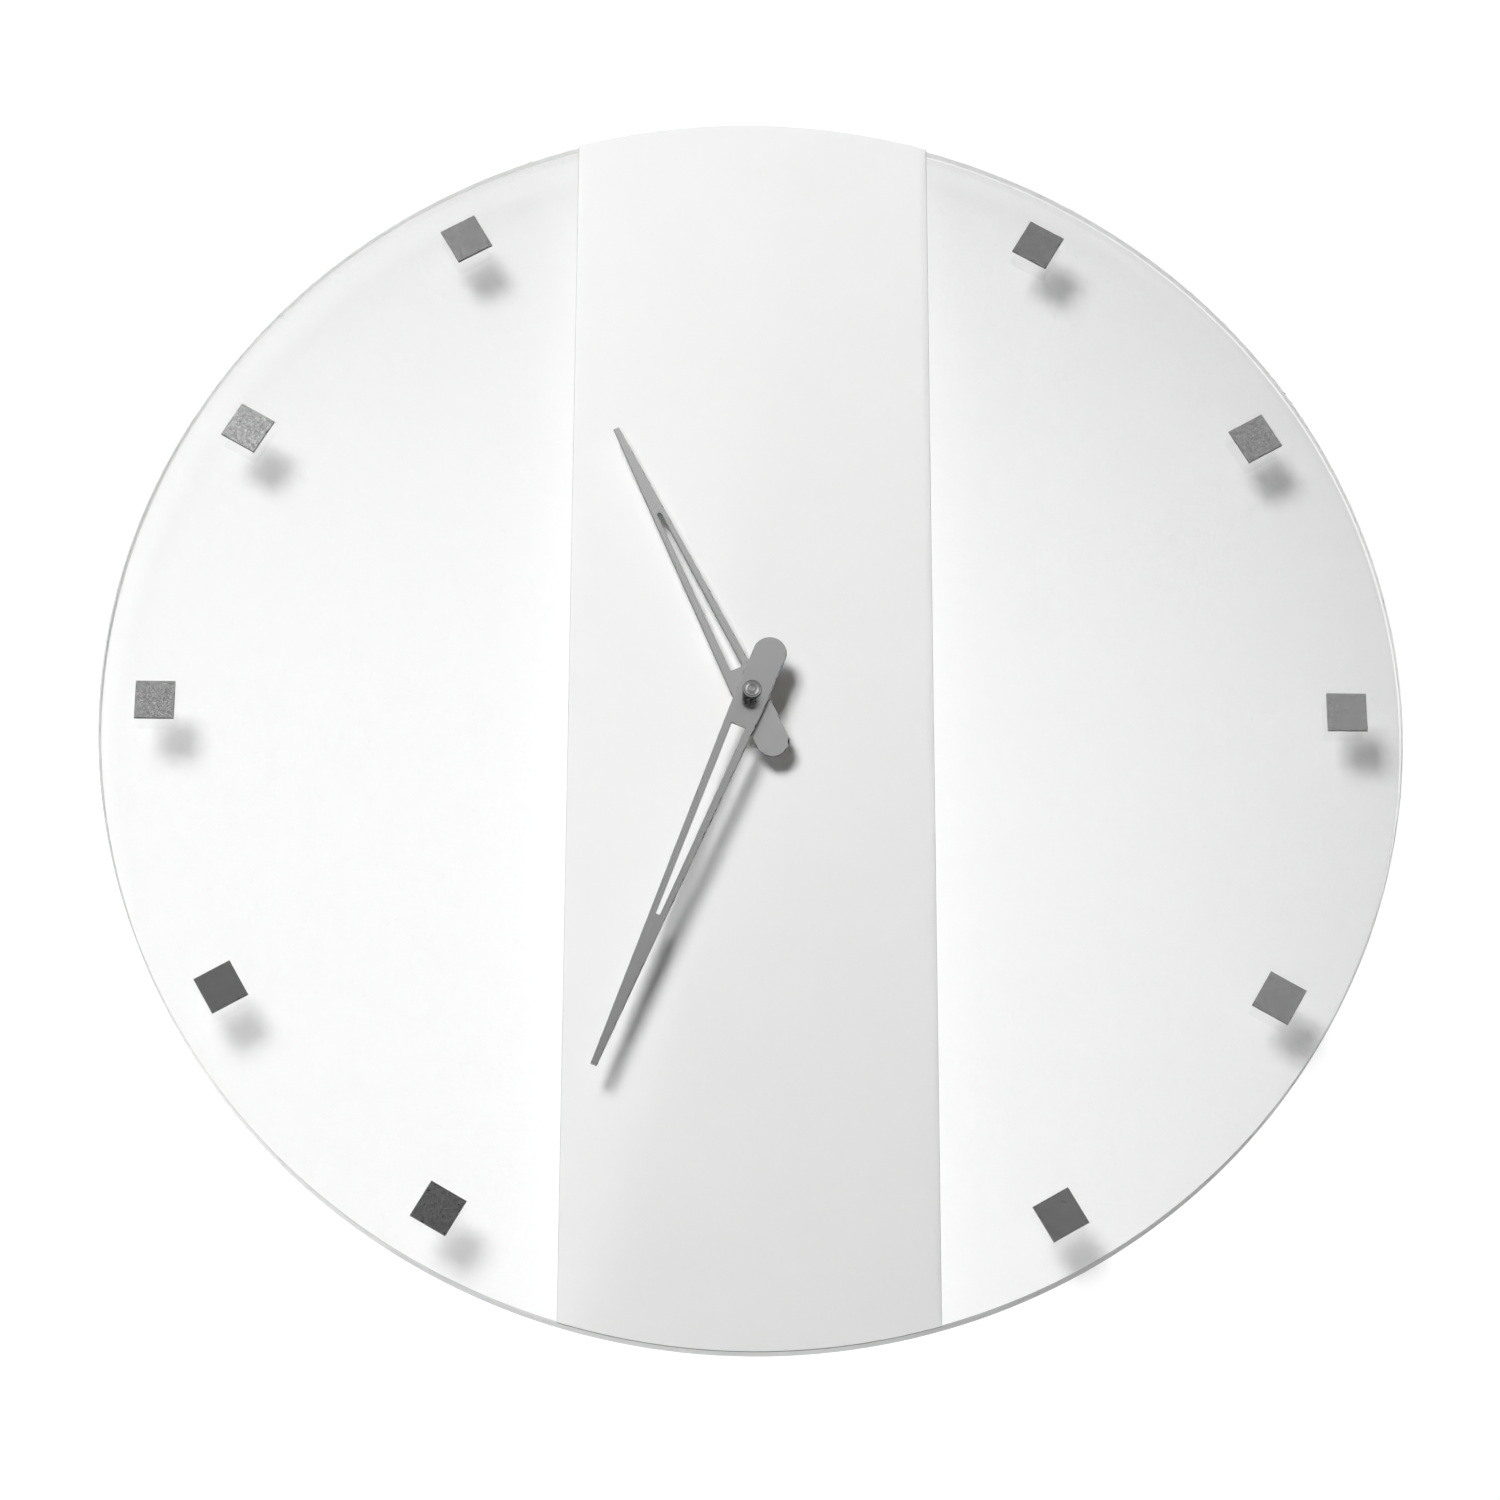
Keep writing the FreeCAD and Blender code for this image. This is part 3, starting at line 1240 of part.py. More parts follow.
def build():
    """Every sub-part, in the order in which the clock comes apart from the front."""
    parts = [make_glass_disc(), make_front_band(), *make_band_fixings()]
    parts += [make_marker(hour) for hour in marked_hours()]
    minute_hole = "minute_arbor_radius + hand_bush_wall"
    hour_hole = "hour_pipe_radius + hand_bush_wall"
    parts.append(make_hand("minute_hand", "minute", "minute_hand_back", minute_hole))
    parts.append(make_hand("hour_hand", "hour", "hour_hand_back", hour_hole))
    parts.append(make_hand_bush("minute_hand_bush", "minute_arbor_radius", "minute_hand_back"))
    parts.append(make_hand_bush("hour_hand_bush", "hour_pipe_radius", "hour_hand_back"))
    parts.append(make_centre_cap())
    parts += [*make_centre_fixing(), make_threaded_bush()]
    parts += [make_case_front(), make_case_cover(), make_train_plate()]
    parts += [make_minute_arbor(), make_hour_wheel(), make_motion_wheel(), make_setting_knob()]
    train = value("train_module")
    parts.append(make_centre_wheel())
    parts.append(make_train_arbor("third_wheel", third_arbor, THIRD_WHEEL_TEETH, train,
                                  "third_wheel_front", centre_arbor, second_arbor))
    parts.append(make_train_arbor("second_wheel", second_arbor, SECOND_WHEEL_TEETH, train,
                                  "second_wheel_front", third_arbor, step_arbor))
    parts.append(make_train_arbor("step_wheel", step_arbor, STEP_WHEEL_TEETH, value("rotor_module"),
                                  "step_wheel_front", second_arbor, rotor_arbor))
    parts += [*make_rotor(), make_stator(), *make_coil()]
    parts += [*make_board(), make_battery(), *make_contacts()]
    parts += [make_rear_frame(), make_wall_bumpers()]
    return parts


def check(parts):
    """Stop at any feature that failed, and at any sub-part whose shape is empty or broken."""
    doc.recompute()
    failed = [item.Name for item in doc.Objects if {"Invalid", "Error"} & set(item.State)]
    if failed:
        raise RuntimeError(f"features failed: {failed}")
    for part in parts:
        if part.Shape.isNull() or not part.Shape.isValid() or part.Shape.Volume <= 0:
            raise RuntimeError(f"{part.Label} has no sound shape")


def write(parts):
    """One STEP file for each sub-part, named by its label."""
    os.makedirs("parts", exist_ok=True)
    for part in parts:
        part.Shape.exportStep(os.path.join("parts", part.Label + ".step"))
        print(f"{part.Label}: {len(part.Shape.Solids)} solid(s), {part.Shape.Volume:.1f} mm3")


sub_parts = build()
check(sub_parts)
write(sub_parts)
print(f"{len(sub_parts)} sub-parts")
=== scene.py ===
# %% [markdown]
# # A round glass wall clock with a white centre band
#
# The clock hangs on a wall, seen from below. A clear glass disc stands a little off the wall, a
# white lacquered band crosses it from top to bottom, and ten small steel plates mark the hours.
# Two slotted hands turn in front of the band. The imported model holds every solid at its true
# size, so this script gives each of them its finish, and rebuilds those whose edges and threads
# need finer modelling. All lengths are in metres, and `mm` keeps the small ones readable.

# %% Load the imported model
import math

import bmesh
import bpy
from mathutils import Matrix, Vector


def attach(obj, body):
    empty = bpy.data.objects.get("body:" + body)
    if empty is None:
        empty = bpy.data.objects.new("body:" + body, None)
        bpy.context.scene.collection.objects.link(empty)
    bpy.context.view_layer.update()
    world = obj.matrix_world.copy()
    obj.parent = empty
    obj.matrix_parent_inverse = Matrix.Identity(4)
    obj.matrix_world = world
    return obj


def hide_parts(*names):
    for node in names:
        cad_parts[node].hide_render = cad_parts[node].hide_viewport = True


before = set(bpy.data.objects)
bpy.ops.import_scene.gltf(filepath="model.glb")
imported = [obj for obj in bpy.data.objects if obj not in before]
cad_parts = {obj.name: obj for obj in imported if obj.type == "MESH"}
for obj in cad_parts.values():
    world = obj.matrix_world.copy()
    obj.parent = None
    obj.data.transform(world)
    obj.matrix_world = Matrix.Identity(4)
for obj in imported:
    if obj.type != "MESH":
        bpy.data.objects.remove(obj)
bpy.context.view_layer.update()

mm = 0.001

# %% [markdown]
# The camera comes first. It stands about 1.6 m in front of the wall and well below the clock,
# and looks up at it. A small lens shift puts the clock in the middle of the frame, as a
# photographer's shift lens would. Its place, turn and lens are the ones at which the disc's
# outline, the band's corners and the hour plates fall where they should.

# %% Camera
camera_place = (-0.03455, -1.55966, -0.57294)
camera_turn = [math.radians(angle) for angle in (110.8654, -0.5299, -0.3269)]
bpy.ops.object.select_all(action="DESELECT")
bpy.ops.object.camera_add(location=camera_place, rotation=camera_turn)
camera = bpy.context.active_object
camera.name = "camera"
camera.data.lens = 102.89
camera.data.shift_x = 0.05333
camera.data.shift_y = -0.05333
bpy.context.scene.camera = camera
bpy.context.scene.view_settings.view_transform = "Standard"
print("camera lens", camera.data.lens, "mm")

# %% [markdown]
# Node materials are easier to read as sums. A `Wire` is the output of one node, and adding,
# subtracting or multiplying wires adds the Math nodes that do it. `Finish.node` makes any other
# node: its settings are set first, because some of them change which sockets it has.

# %% Write shader sums in Python


def grey(level):
    return (level, level, level, 1.0)


class Wire:
    """One output socket, which can stand in a sum."""

    def __init__(self, finish, socket):
        self.finish = finish
        self.socket = socket

    def math(self, operation, *others):
        """A Math node of that operation on this wire and the others."""
        return self.finish.node("ShaderNodeMath", {"operation": operation},
                                dict(enumerate((self,) + others)))

    def other(self, name):
        """Another output of the same node."""
        return Wire(self.finish, self.socket.node.outputs[name])

    def __add__(self, value):
        return self.math("ADD", value)

    def __radd__(self, value):
        return self.math("ADD", value)

    def __sub__(self, value):
        return self.math("SUBTRACT", value)

    def __rsub__(self, value):
        return (self * -1) + value

    def __mul__(self, value):
        return self.math("MULTIPLY", value)

    def __rmul__(self, value):
        return self.math("MULTIPLY", value)

    def __pow__(self, value):
        return self.math("POWER", value)

    def above(self, value):
        return self.math("GREATER_THAN", value)

    def below(self, value):
        return self.math("LESS_THAN", value)

    def at_least(self, value):
        return self.math("MAXIMUM", value)

    def spread(self, low, high, start=0.0, end=1.0):
        """This wire's run from low to high, mapped smoothly to start and end."""
        return self.finish.node("ShaderNodeMapRange", {"interpolation_type": "SMOOTHSTEP"},
                                {"Value": self, "From Min": low, "From Max": high,
                                 "To Min": start, "To Max": end})


class Finish:
    """The shader nodes of a material, or of a world, under construction."""

    def __init__(self, name, shelf="materials"):
        self.owner = getattr(bpy.data, shelf).new(name)
        self.owner.use_nodes = True
        self.tree = self.owner.node_tree
        self.tree.nodes.clear()

    def feed(self, socket, given):
        """Link a wire to a socket, or set a plain value there."""
        if isinstance(given, Wire):
            self.tree.links.new(given.socket, socket)
        else:
            socket.default_value = given

    def node(self, kind, settings=None, sockets=None, output=0):
        """Add a node, and return the wire of one of its outputs."""
        made = self.tree.nodes.new(kind)
        for name, setting in (settings or {}).items():
            setattr(made, name, setting)
        for name, given in (sockets or {}).items():
            self.feed(made.inputs[name], given)
        return Wire(self, made.outputs[output]) if len(made.outputs) else made

    def vector(self, operation, *sockets, output=0):
        """A Vector Math node of that operation."""
        return self.node("ShaderNodeVectorMath", {"operation": operation},
                         dict(enumerate(sockets)), output)

    def place(self):
        """The point of the surface in the clock's own frame, in metres."""
        return self.node("ShaderNodeTexCoord", output="Object")

    def axes(self, point):
        """The x, y and z of a point, as three wires."""
        x = self.node("ShaderNodeSeparateXYZ", None, {"Vector": point})
        return x, x.other("Y"), x.other("Z")

    def noise(self, point, scale, detail=2.0, roughness=0.5):
        """Noise from 0 to 1, with scale cells to the metre."""
        return self.node("ShaderNodeTexNoise", None,
                         {"Vector": point, "Scale": scale, "Detail": detail,
                          "Roughness": roughness})

    def blend(self, share, first, second):
        """A colour that goes from first to second as share goes from 0 to 1."""
        made = self.tree.nodes.new("ShaderNodeMix")
        made.data_type = "RGBA"
        for index, given in ((0, share), (6, first), (7, second)):  # the sockets for colours
            self.feed(made.inputs[index], given)
        return Wire(self, made.outputs[2])

    def bump(self, height, depth, strength=1.0):
        """A bump of that depth in metres where height is 1."""
        return self.node("ShaderNodeBump", None,
                         {"Height": height, "Distance": depth, "Strength": strength})

    def surface(self, **sockets):
        """The main shader, with underscores in the sockets' names for spaces."""
        return self.node("ShaderNodeBsdfPrincipled", None,
                         {name.replace("_", " "): given for name, given in sockets.items()})

    def matt(self, level, **sockets):
        """A plain grey diffuse shader."""
        return self.node("ShaderNodeBsdfDiffuse", None, {"Color": grey(level), **sockets})

    def clear(self, level):
        """A shader that lets light straight through, at that level."""
        return self.node("ShaderNodeBsdfTransparent", None, {"Color": grey(level)})

    def glow(self, level):
        """Light from the surface itself. A level that varies is fed in as a grey colour."""
        colour = level if isinstance(level, Wire) else grey(level)
        return self.node("ShaderNodeEmission", None, {"Color": colour, "Strength": 1.0})

    def mixed(self, share, first, second):
        """The first shader where share is 0, the second where it is 1."""
        return self.node("ShaderNodeMixShader", None, {0: share, 1: first, 2: second})

    def both(self, first, second):
        """Two shaders added together."""
        return self.node("ShaderNodeAddShader", None, {0: first, 1: second})

    def done(self, shader):
        self.node("ShaderNodeOutputMaterial", None, {"Surface": shader})
        return self.owner


print("shader sums ready")

# %% [markdown]
# ## The room
#
# The room is a stage and not part of the clock: a pale wall behind it, a pale floor below and one
# large soft lamp high on the left. Seen past the clock, the wall is plain white. Seen through the
# glass, its fine plaster shows under the lamp, with an added glow of painted shade that gets
# greyer upwards and to the right, away from the lamp.
# A Light Path node tells the two kinds of ray apart, so one wall can do both, and from behind the
# wall lets the camera through. The floor glows a little for the camera and for rays through glass
# alone, so it stays pale from every side while metal mirrors it as it is.

# %% Wall and floor


def plaster_finish():
    f = Finish("room_plaster")
    point = f.place()
    x, y, z = f.axes(point)
    grain = f.noise(point, 300.0, detail=3.0, roughness=0.6)
    plaster = f.matt(0.54, Normal=f.bump(grain, 0.3 * mm, 0.9))
    # Painted shade: the glow seen through the glass is made darker upwards and to the right, away
    # from the lamp.
    painted_shade_upwards = (z + 0.09).at_least(0.0) ** 2.0
    painted_shade_rightwards = (x + 0.03).at_least(0.0) ** 2.0
    through = f.both(plaster, f.glow(0.495 - painted_shade_upwards * 2.0 - painted_shade_rightwards * 3.2))
    path = f.node("ShaderNodeLightPath", output="Is Camera Ray")
    front = f.mixed(path, through, f.both(f.glow(0.70), f.matt(0.40)))
    behind = f.node("ShaderNodeNewGeometry", output="Backfacing")
    passing = behind.at_least(path.other("Is Shadow Ray")).at_least(path.other("Is Diffuse Ray"))
    return f.done(f.mixed(passing, front, f.clear(1.0)))


def floor_finish():
    f = Finish("room_floor")
    cloud = f.noise(f.place(), 3.0)
    boards = f.surface(Base_Color=f.blend(cloud, grey(0.46), grey(0.50)), Roughness=0.8)
    path = f.node("ShaderNodeLightPath", output="Is Camera Ray")
    seen = path.at_least(path.other("Is Transmission Ray"))
    return f.done(f.mixed(seen, boards, f.both(boards, f.glow(0.5))))


def room_plane(name, finish, height, turn):
    """A plane far larger than the clock, tipped by turn about the wall's foot."""
    bpy.ops.object.select_all(action="DESELECT")
    bpy.ops.mesh.primitive_plane_add(size=12.0, location=(0.0, 0.0, height),
                                     rotation=(turn, 0.0, 0.0))
    made = bpy.context.active_object
    made.name = name
    bpy.ops.object.transform_apply()
    made.data.materials.append(finish)
    return made


wall = room_plane("room_wall", plaster_finish(), 0.0, math.radians(90))
floor = room_plane("room_floor", floor_finish(), -1.4, 0.0)
print("wall and floor made")

# %% [markdown]
# One soft lamp gives the clear shadows that the hands and plates throw down to the right. A small
# one behind the wall lights the back for the views from there. The large lamp is left out of what
# metal mirrors and what glass shows, where it would be a hard white square.

# %% Lamps


def lamp(name, side, away, power, towards):
    """A square lamp of that side, which shines along towards from that far away."""
    way = Vector(towards).normalized()
    bpy.ops.object.select_all(action="DESELECT")
    bpy.ops.object.light_add(type="AREA", location=-way * away)
    made = bpy.context.active_object
    made.name = name
    made.rotation_euler = way.to_track_quat("-Z", "Y").to_euler()
    made.data.size = side
    made.data.energy = power
    return made


key = lamp("key_lamp", side=3.6, away=10.0, power=1125.0, towards=(0.48, 1.0, -0.63))
key.visible_glossy = key.visible_transmission = False
lamp("back_lamp", side=2.0, away=3.0, power=60.0, towards=(-0.3, -1.0, -0.5))

# %% [markdown]
# Metal has no colour of its own to speak of: it looks like the room it mirrors. So the world,
# which looks white to the camera, shows glossy rays a room instead: walls that get lighter
# upwards to a dark ceiling, a bright window high on the left and a lit wall on the right. That
# gives each brushed plate its own grey. Directions in the world are unit vectors, so `right` and
# `up` run from -1 to 1, and `spread` marks where a wall begins and ends.

# %% World
air = Finish("room_air", "worlds")
bpy.context.scene.world = air.owner
path = air.node("ShaderNodeLightPath", output="Is Camera Ray")
through_glass = path.other("Is Transmission Ray") * path.other("Diffuse Depth").below(0.5)
way = air.node("ShaderNodeTexCoord", output="Generated")
right, back, up = air.axes(way)
window_way = (-0.42, -0.73, 0.54)
window = air.vector("DOT_PRODUCT", way, window_way, output="Value").spread(0.94, 0.99)
walls = up.spread(0.0, 0.7) * up.spread(0.6, 0.85, 1.0, 0.1)
side_wall = right.spread(0.17, 0.33) * right.spread(0.40, 0.52, 1.0, 0.3)
mirrored = path.other("Is Glossy Ray") * (walls * 0.74 + window * 4.0 + side_wall * 1.5)
level = 0.03 + mirrored + (path + through_glass) * 0.95
light = air.node("ShaderNodeBackground", None, {"Color": grey(1.0), "Strength": level})
air.node("ShaderNodeOutputWorld", None, {"Surface": light})
print("world:", len(air.tree.nodes), "nodes")

# %% [markdown]
# ## How the pieces are made
#
# Every piece is modelled as by hand: add a primitive, enter edit mode, pick faces or edges by
# where they lie, and shape them. These helpers keep each step to a line. `in_edit` deselects all
# first, because an operator works on whatever is selected. In this frame -Y points away from the
# wall, so a depth of 18 mm in front of the wall is y = -0.018.

# %% Modelling helpers


def only(piece):
    bpy.ops.object.select_all(action="DESELECT")
    piece.select_set(True)
    bpy.context.view_layer.objects.active = piece


def in_edit(piece, kind="FACE"):
    only(piece)
    bpy.ops.object.mode_set(mode="EDIT")
    bpy.ops.mesh.select_mode(type=kind)
    bpy.ops.mesh.select_all(action="DESELECT")


def pick(piece, kind, test):
    """Select the faces, edges or vertices for which test holds, in edit mode."""
    bpy.ops.mesh.select_mode(type={"faces": "FACE", "edges": "EDGE", "verts": "VERT"}[kind])
    bpy.ops.mesh.select_all(action="DESELECT")
    mesh = bmesh.from_edit_mesh(piece.data)
    count = 0
    for item in getattr(mesh, kind):
        if test(item):
            item.select_set(True)
            count += 1
    bmesh.update_edit_mesh(piece.data)
    return count


nothing = 1e-6  # points nearer to each other than this are one point


def at_one_depth(edge):
    return abs(edge.verts[0].co.y - edge.verts[1].co.y) < nothing


def sharp(edge):
    return edge.calc_face_angle(0) > 0.5


def middle(edge):
    return (edge.verts[0].co + edge.verts[1].co) / 2


def across(point):
    """Distance of a point from the clock's axis."""
    return math.hypot(point.x, point.z)


print("ways to pick faces and edges ready")

# %% [markdown]
# Most pieces start as a bar that points out of the wall, round or with six sides, and a second
# bar cuts the hole in it. A boolean needs its cutter to pass clean through, so `drill` is longer
# than any hole here is deep.

# %% Bars and cuts


def bar(sides, radius, back, front, x=0.0, z=0.0):
    """A bar with that many sides between two depths in front of the wall."""
    bpy.ops.object.select_all(action="DESELECT")
    bpy.ops.mesh.primitive_cylinder_add(
        vertices=sides, radius=radius, depth=front - back,
        location=(x, -(front + back) / 2, z), rotation=(math.radians(90), 0.0, 0.0))
    bpy.ops.object.transform_apply()
    return bpy.context.active_object


def drill(radius, depth, x=0.0, z=0.0):
    """A round bar across that depth, to cut a hole with."""
    return bar(48, radius, depth - 15 * mm, depth + 15 * mm, x, z)


def cut(piece, tool, operation="DIFFERENCE"):
    """Take the tool's space out of the piece, or keep only that, and throw the tool away."""
    only(piece)
    boolean = piece.modifiers.new("cut", "BOOLEAN")
    boolean.operation = operation
    boolean.object = tool
    bpy.ops.object.modifier_apply(modifier=boolean.name)
    bpy.data.objects.remove(tool)


def line(name, points):
    """A piece that is only a line through the points, to be spun or screwed."""
    mesh = bpy.data.meshes.new(name)
    mesh.from_pydata(points, [(n, n + 1) for n in range(len(points) - 1)], [])
    made = bpy.data.objects.new(name, mesh)
    bpy.context.collection.objects.link(made)
    return made


def smooth(piece, angle=25):
    only(piece)
    bpy.ops.object.shade_smooth_by_angle(angle=math.radians(angle))


print("bars and cuts ready")

# %% [markdown]
# A finished piece gets its material, rides on the body that it moves with, and stands for the
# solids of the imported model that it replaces. Sheet and glass look different on their cut sides,
# so `dress_sides` gives a second material to the faces that turn away from the front.

# %% Finish a piece


def finished(piece, material, body, slot, *nodes):
    """Dress a piece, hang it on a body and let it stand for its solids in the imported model."""
    piece.data.materials.clear()
    piece.data.materials.append(material)
    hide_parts(*nodes)
    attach(piece, body)
    print(piece.name, len(piece.data.polygons), "faces")


def dress_sides(piece, material, limit, reach=0.0):
    """A second finish for faces turned away from the front, at least reach from the axis."""
    piece.data.materials.append(material)
    for face in piece.data.polygons:
        if abs(face.normal.y) < limit and across(face.center) >= reach:
            face.material_index = 1


print("ready to finish pieces")

# %% [markdown]
# ## Glass disc
#
# A path tracer bends every ray in glass, and then the lamp's light reaches the wall only by luck.
# So the glass lets shadow rays and the rays from plain surfaces go straight through. The rim is
# ground and polished by wheel, so it is a little milky. It is painted darker below and at the
# sides, a painted shade for where less light enters.

# %% Glass finishes


def straight(f):
    """1 for light that goes straight through glass to or from a plain surface."""
    path = f.node("ShaderNodeLightPath", output="Is Shadow Ray")
    return path.at_least(path.other("Is Diffuse Ray"))


def glass_finish():
    f = Finish("clear_glass")
    glass = f.surface(Base_Color=(0.985, 0.988, 0.987, 1.0), Roughness=0.0, IOR=1.5,
                      Transmission_Weight=1.0)
    return f.done(f.mixed(straight(f), glass, f.clear(0.97)))


def rim_finish():
    f = Finish("rim_glass")
    wheel_marks = f.noise(f.place(), 60.0)
    tone = f.blend(wheel_marks.spread(0.3, 0.7), grey(0.90), grey(0.94))
    polished = f.surface(Base_Color=tone, Roughness=0.4, IOR=1.5, Transmission_Weight=0.4)
    milky = f.node("ShaderNodeBsdfTranslucent", None, {"Color": grey(0.95)})
    x, y, z = f.axes(f.place())
    # Painted shade: the rim is mixed towards a dark grey below, at the lower right and at the far
    # left.
    low = z.spread(-0.22, 0.05, 1.0, 0.0)
    low_right = low * x.spread(0.0, 0.12)
    far_left = x.spread(-0.25, -0.2, 1.0, 0.0)
    rim_painted_shade = low * 0.33 + low_right * 0.22 + far_left * 0.35
    seen = f.mixed(rim_painted_shade, f.mixed(0.2, polished, milky), f.matt(0.1))
    return f.done(f.mixed(straight(f), seen, f.clear(0.9)))


clear_glass, rim_glass = glass_finish(), rim_finish()
print("glass finishes:", clear_glass.name, "and", rim_glass.name)

# %% [markdown]
# The disc is clear float glass, 8 mm thick. It has a large hole for the movement and four small
# ones for the sleeves round the studs. It starts as a cylinder with many sides, so that its rim
# stays round in the close views. The big hole is an inset of both faces, bridged through, the
# small ones are drilled with booleans, and the rim's edges get the small flat bevel that a glazier
# grinds.

# %% Glass disc
disc_radius, wall_gap, glass_front = 250 * mm, 10 * mm, 18 * mm
movement_hole, stud_hole, round_sides = 42 * mm, 4.1 * mm, 256
stud_places = [(x * mm, z * mm) for x in (-42, 42) for z in (-120, 120)]
disc = bar(round_sides, disc_radius, wall_gap, glass_front)
disc.name = "glass_disc_polished"
in_edit(disc)
pick(disc, "faces", lambda face: abs(face.normal.y) > 0.9)
bpy.ops.mesh.inset(thickness=disc_radius - movement_hole, use_even_offset=False)
pick(disc, "faces", lambda face: abs(face.normal.y) > 0.9 and len(face.verts) > 4)
bpy.ops.mesh.bridge_edge_loops()
pick(disc, "edges", lambda edge: at_one_depth(edge) and across(middle(edge)) > disc_radius * 0.99)
bpy.ops.mesh.bevel(offset=0.6 * mm, segments=1)
bpy.ops.object.mode_set(mode="OBJECT")
for x, z in stud_places:
    cut(disc, drill(stud_hole, glass_front, x, z))
smooth(disc)
finished(disc, clear_glass, "clock", "clear_glass", "glass_disc")
dress_sides(disc, rim_glass, 0.9, disc_radius * 0.9)

# %% [markdown]
# ## Centre band
#
# The band is steel sheet under white lacquer. Sprayed lacquer keeps a very fine orange peel and a
# soft sheen. Its cut edges get a second finish, a dark grey that is painted shade, and later the
# plates and hands get it as well.

# %% Lacquer and the painted shade of edges


def lacquer_finish():
    f = Finish("white_lacquer")
    point = f.place()
    orange_peel = f.noise(point, 650.0)
    cloud = f.noise(point, 9.0)
    tone = f.blend(cloud.spread(0.3, 0.7), grey(0.845), grey(0.855))
    return f.done(f.surface(Base_Color=tone, Roughness=0.55, Specular_IOR_Level=0.2,
                            Normal=f.bump(orange_peel, 0.03 * mm, 0.3)))


def edge_shade_finish():
    """A sheet's cut edge, painted a dark grey that is painted shade."""
    f = Finish("painted_edge_shade")
    worn = f.noise(f.place(), 400.0)
    # The dark grey is painted shade; the noise only varies it at random.
    tone = f.blend(worn.spread(0.3, 0.7), grey(0.20), grey(0.27))
    return f.done(f.surface(Base_Color=tone, Roughness=0.5))


lacquer, edge_shade = lacquer_finish(), edge_shade_finish()
print("sheet finishes:", lacquer.name, "and", edge_shade.name)

# %% [markdown]
# The band is as wide as a hand, and its ends follow the disc's own edge. So it is the same round
# plate, sliced off at both sides with bisect, and its edges are softened, since lacquer never
# stays sharp. A bond line of a twentieth of a millimetre keeps it clear of the glass: two surfaces
# in the same place flicker. Its shadow would fall as a wide grey bar on the wall, which the even
# light of a real room fills, so it throws none.

# %% Centre band
bond, band_sheet, band_half, neck_hole = 0.05 * mm, 1.5 * mm, 70 * mm, 4.1 * mm
band = bar(round_sides, disc_radius, glass_front + bond, glass_front + band_sheet)
band.name = "front_band_lacquered"
for way_out in (-1, 1):
    in_edit(band)
    bpy.ops.mesh.select_all(action="SELECT")
    bpy.ops.mesh.bisect(plane_co=(way_out * band_half, 0, 0), plane_no=(way_out, 0, 0),
                        use_fill=True, clear_outer=True)
    bpy.ops.object.mode_set(mode="OBJECT")
in_edit(band)
pick(band, "edges", lambda edge: sharp(edge) and at_one_depth(edge))
bpy.ops.mesh.bevel(offset=0.3 * mm, segments=2)
bpy.ops.object.mode_set(mode="OBJECT")
cut(band, drill(neck_hole, glass_front))
smooth(band)
finished(band, lacquer, "clock", "white_lacquer", "front_band")
band.visible_shadow = False
# The band's edges get the dark grey of painted shade.
dress_sides(band, edge_shade, 0.7)

# %% [markdown]
# ## Hour plates
#
# Brushing leaves fine grooves that run one way. They are too fine to model, and they spread a
# reflection across themselves, not along. So the finish tips the surface a little, back and forth
# across the grain, by adding to its normal. The tip is a plain direction in the piece's own
# frame, so it turns with a hand.

# %% Brushed steel


def tipped(f, way, amount):
    """The surface's normal, tipped along way, a direction in the piece's frame, by amount."""
    room = f.node("ShaderNodeVectorTransform",
                  {"vector_type": "VECTOR", "convert_from": "OBJECT", "convert_to": "WORLD"},
                  {"Vector": way})
    tip = f.node("ShaderNodeVectorMath", {"operation": "SCALE"},
                 {"Vector": room, "Scale": amount})
    normal = f.node("ShaderNodeNewGeometry", output="Normal")
    return f.vector("NORMALIZE", f.vector("ADD", normal, tip))


def grooves(f, turn, wide, long):
    """Noise drawn out into lines that run along turn, an angle from twelve o'clock."""
    along = f.node("ShaderNodeMapping", {"vector_type": "TEXTURE"},
                   {"Vector": f.place(), "Rotation": (0.0, turn, 0.0),
                    "Scale": (wide, wide, long)})
    return f.noise(along, 1.0)


def brushed_finish(name, shade, roughness, turn, spread, stroke):
    """Steel brushed along the direction turn, in strokes of that length."""
    f = Finish(name)
    fine = grooves(f, turn, 0.09 * mm, stroke)
    broad = grooves(f, turn, 0.5 * mm, 30 * mm)
    cross = (math.cos(turn), 0.0, -math.sin(turn))
    tone = f.blend(broad.spread(0.25, 0.75), grey(shade * 0.98), grey(shade * 1.02))
    polish = fine.spread(0.2, 0.8, roughness - 0.015, roughness + 0.02)
    return f.done(f.surface(Base_Color=tone, Metallic=1.0, Roughness=polish,
                            Normal=tipped(f, cross, (fine - 0.5) * spread)))


print("brushed steel ready")

# %% [markdown]
# The plates are ten small squares cut from brushed sheet and bonded to the glass. One is modelled
# at twelve o'clock: a flattened cube with softened front edges. Each hour gets a copy, turned
# about the clock's axis and brushed across its radius.

# %% Ten hour plates
side, sheet, ring = 15.2 * mm, 1.2 * mm, disc_radius - 21.4 * mm
bpy.ops.object.select_all(action="DESELECT")
bpy.ops.mesh.primitive_cube_add(size=side,
                                location=(0.0, -glass_front - (sheet + bond) / 2, ring))
plate = bpy.context.active_object
plate.name = "hour_marker_plate"
plate.scale = (1.0, (sheet - bond) / side, 1.0)
bpy.ops.object.transform_apply()
in_edit(plate)
pick(plate, "faces", lambda face: face.normal.y < -0.9)
bpy.ops.mesh.inset(thickness=0.3 * mm)
pick(plate, "edges", lambda edge: sharp(edge) and at_one_depth(edge)
     and edge.verts[0].co.y < -glass_front - sheet / 2)
bpy.ops.mesh.bevel(offset=0.13 * mm, segments=1)
bpy.ops.object.mode_set(mode="OBJECT")
smooth(plate)
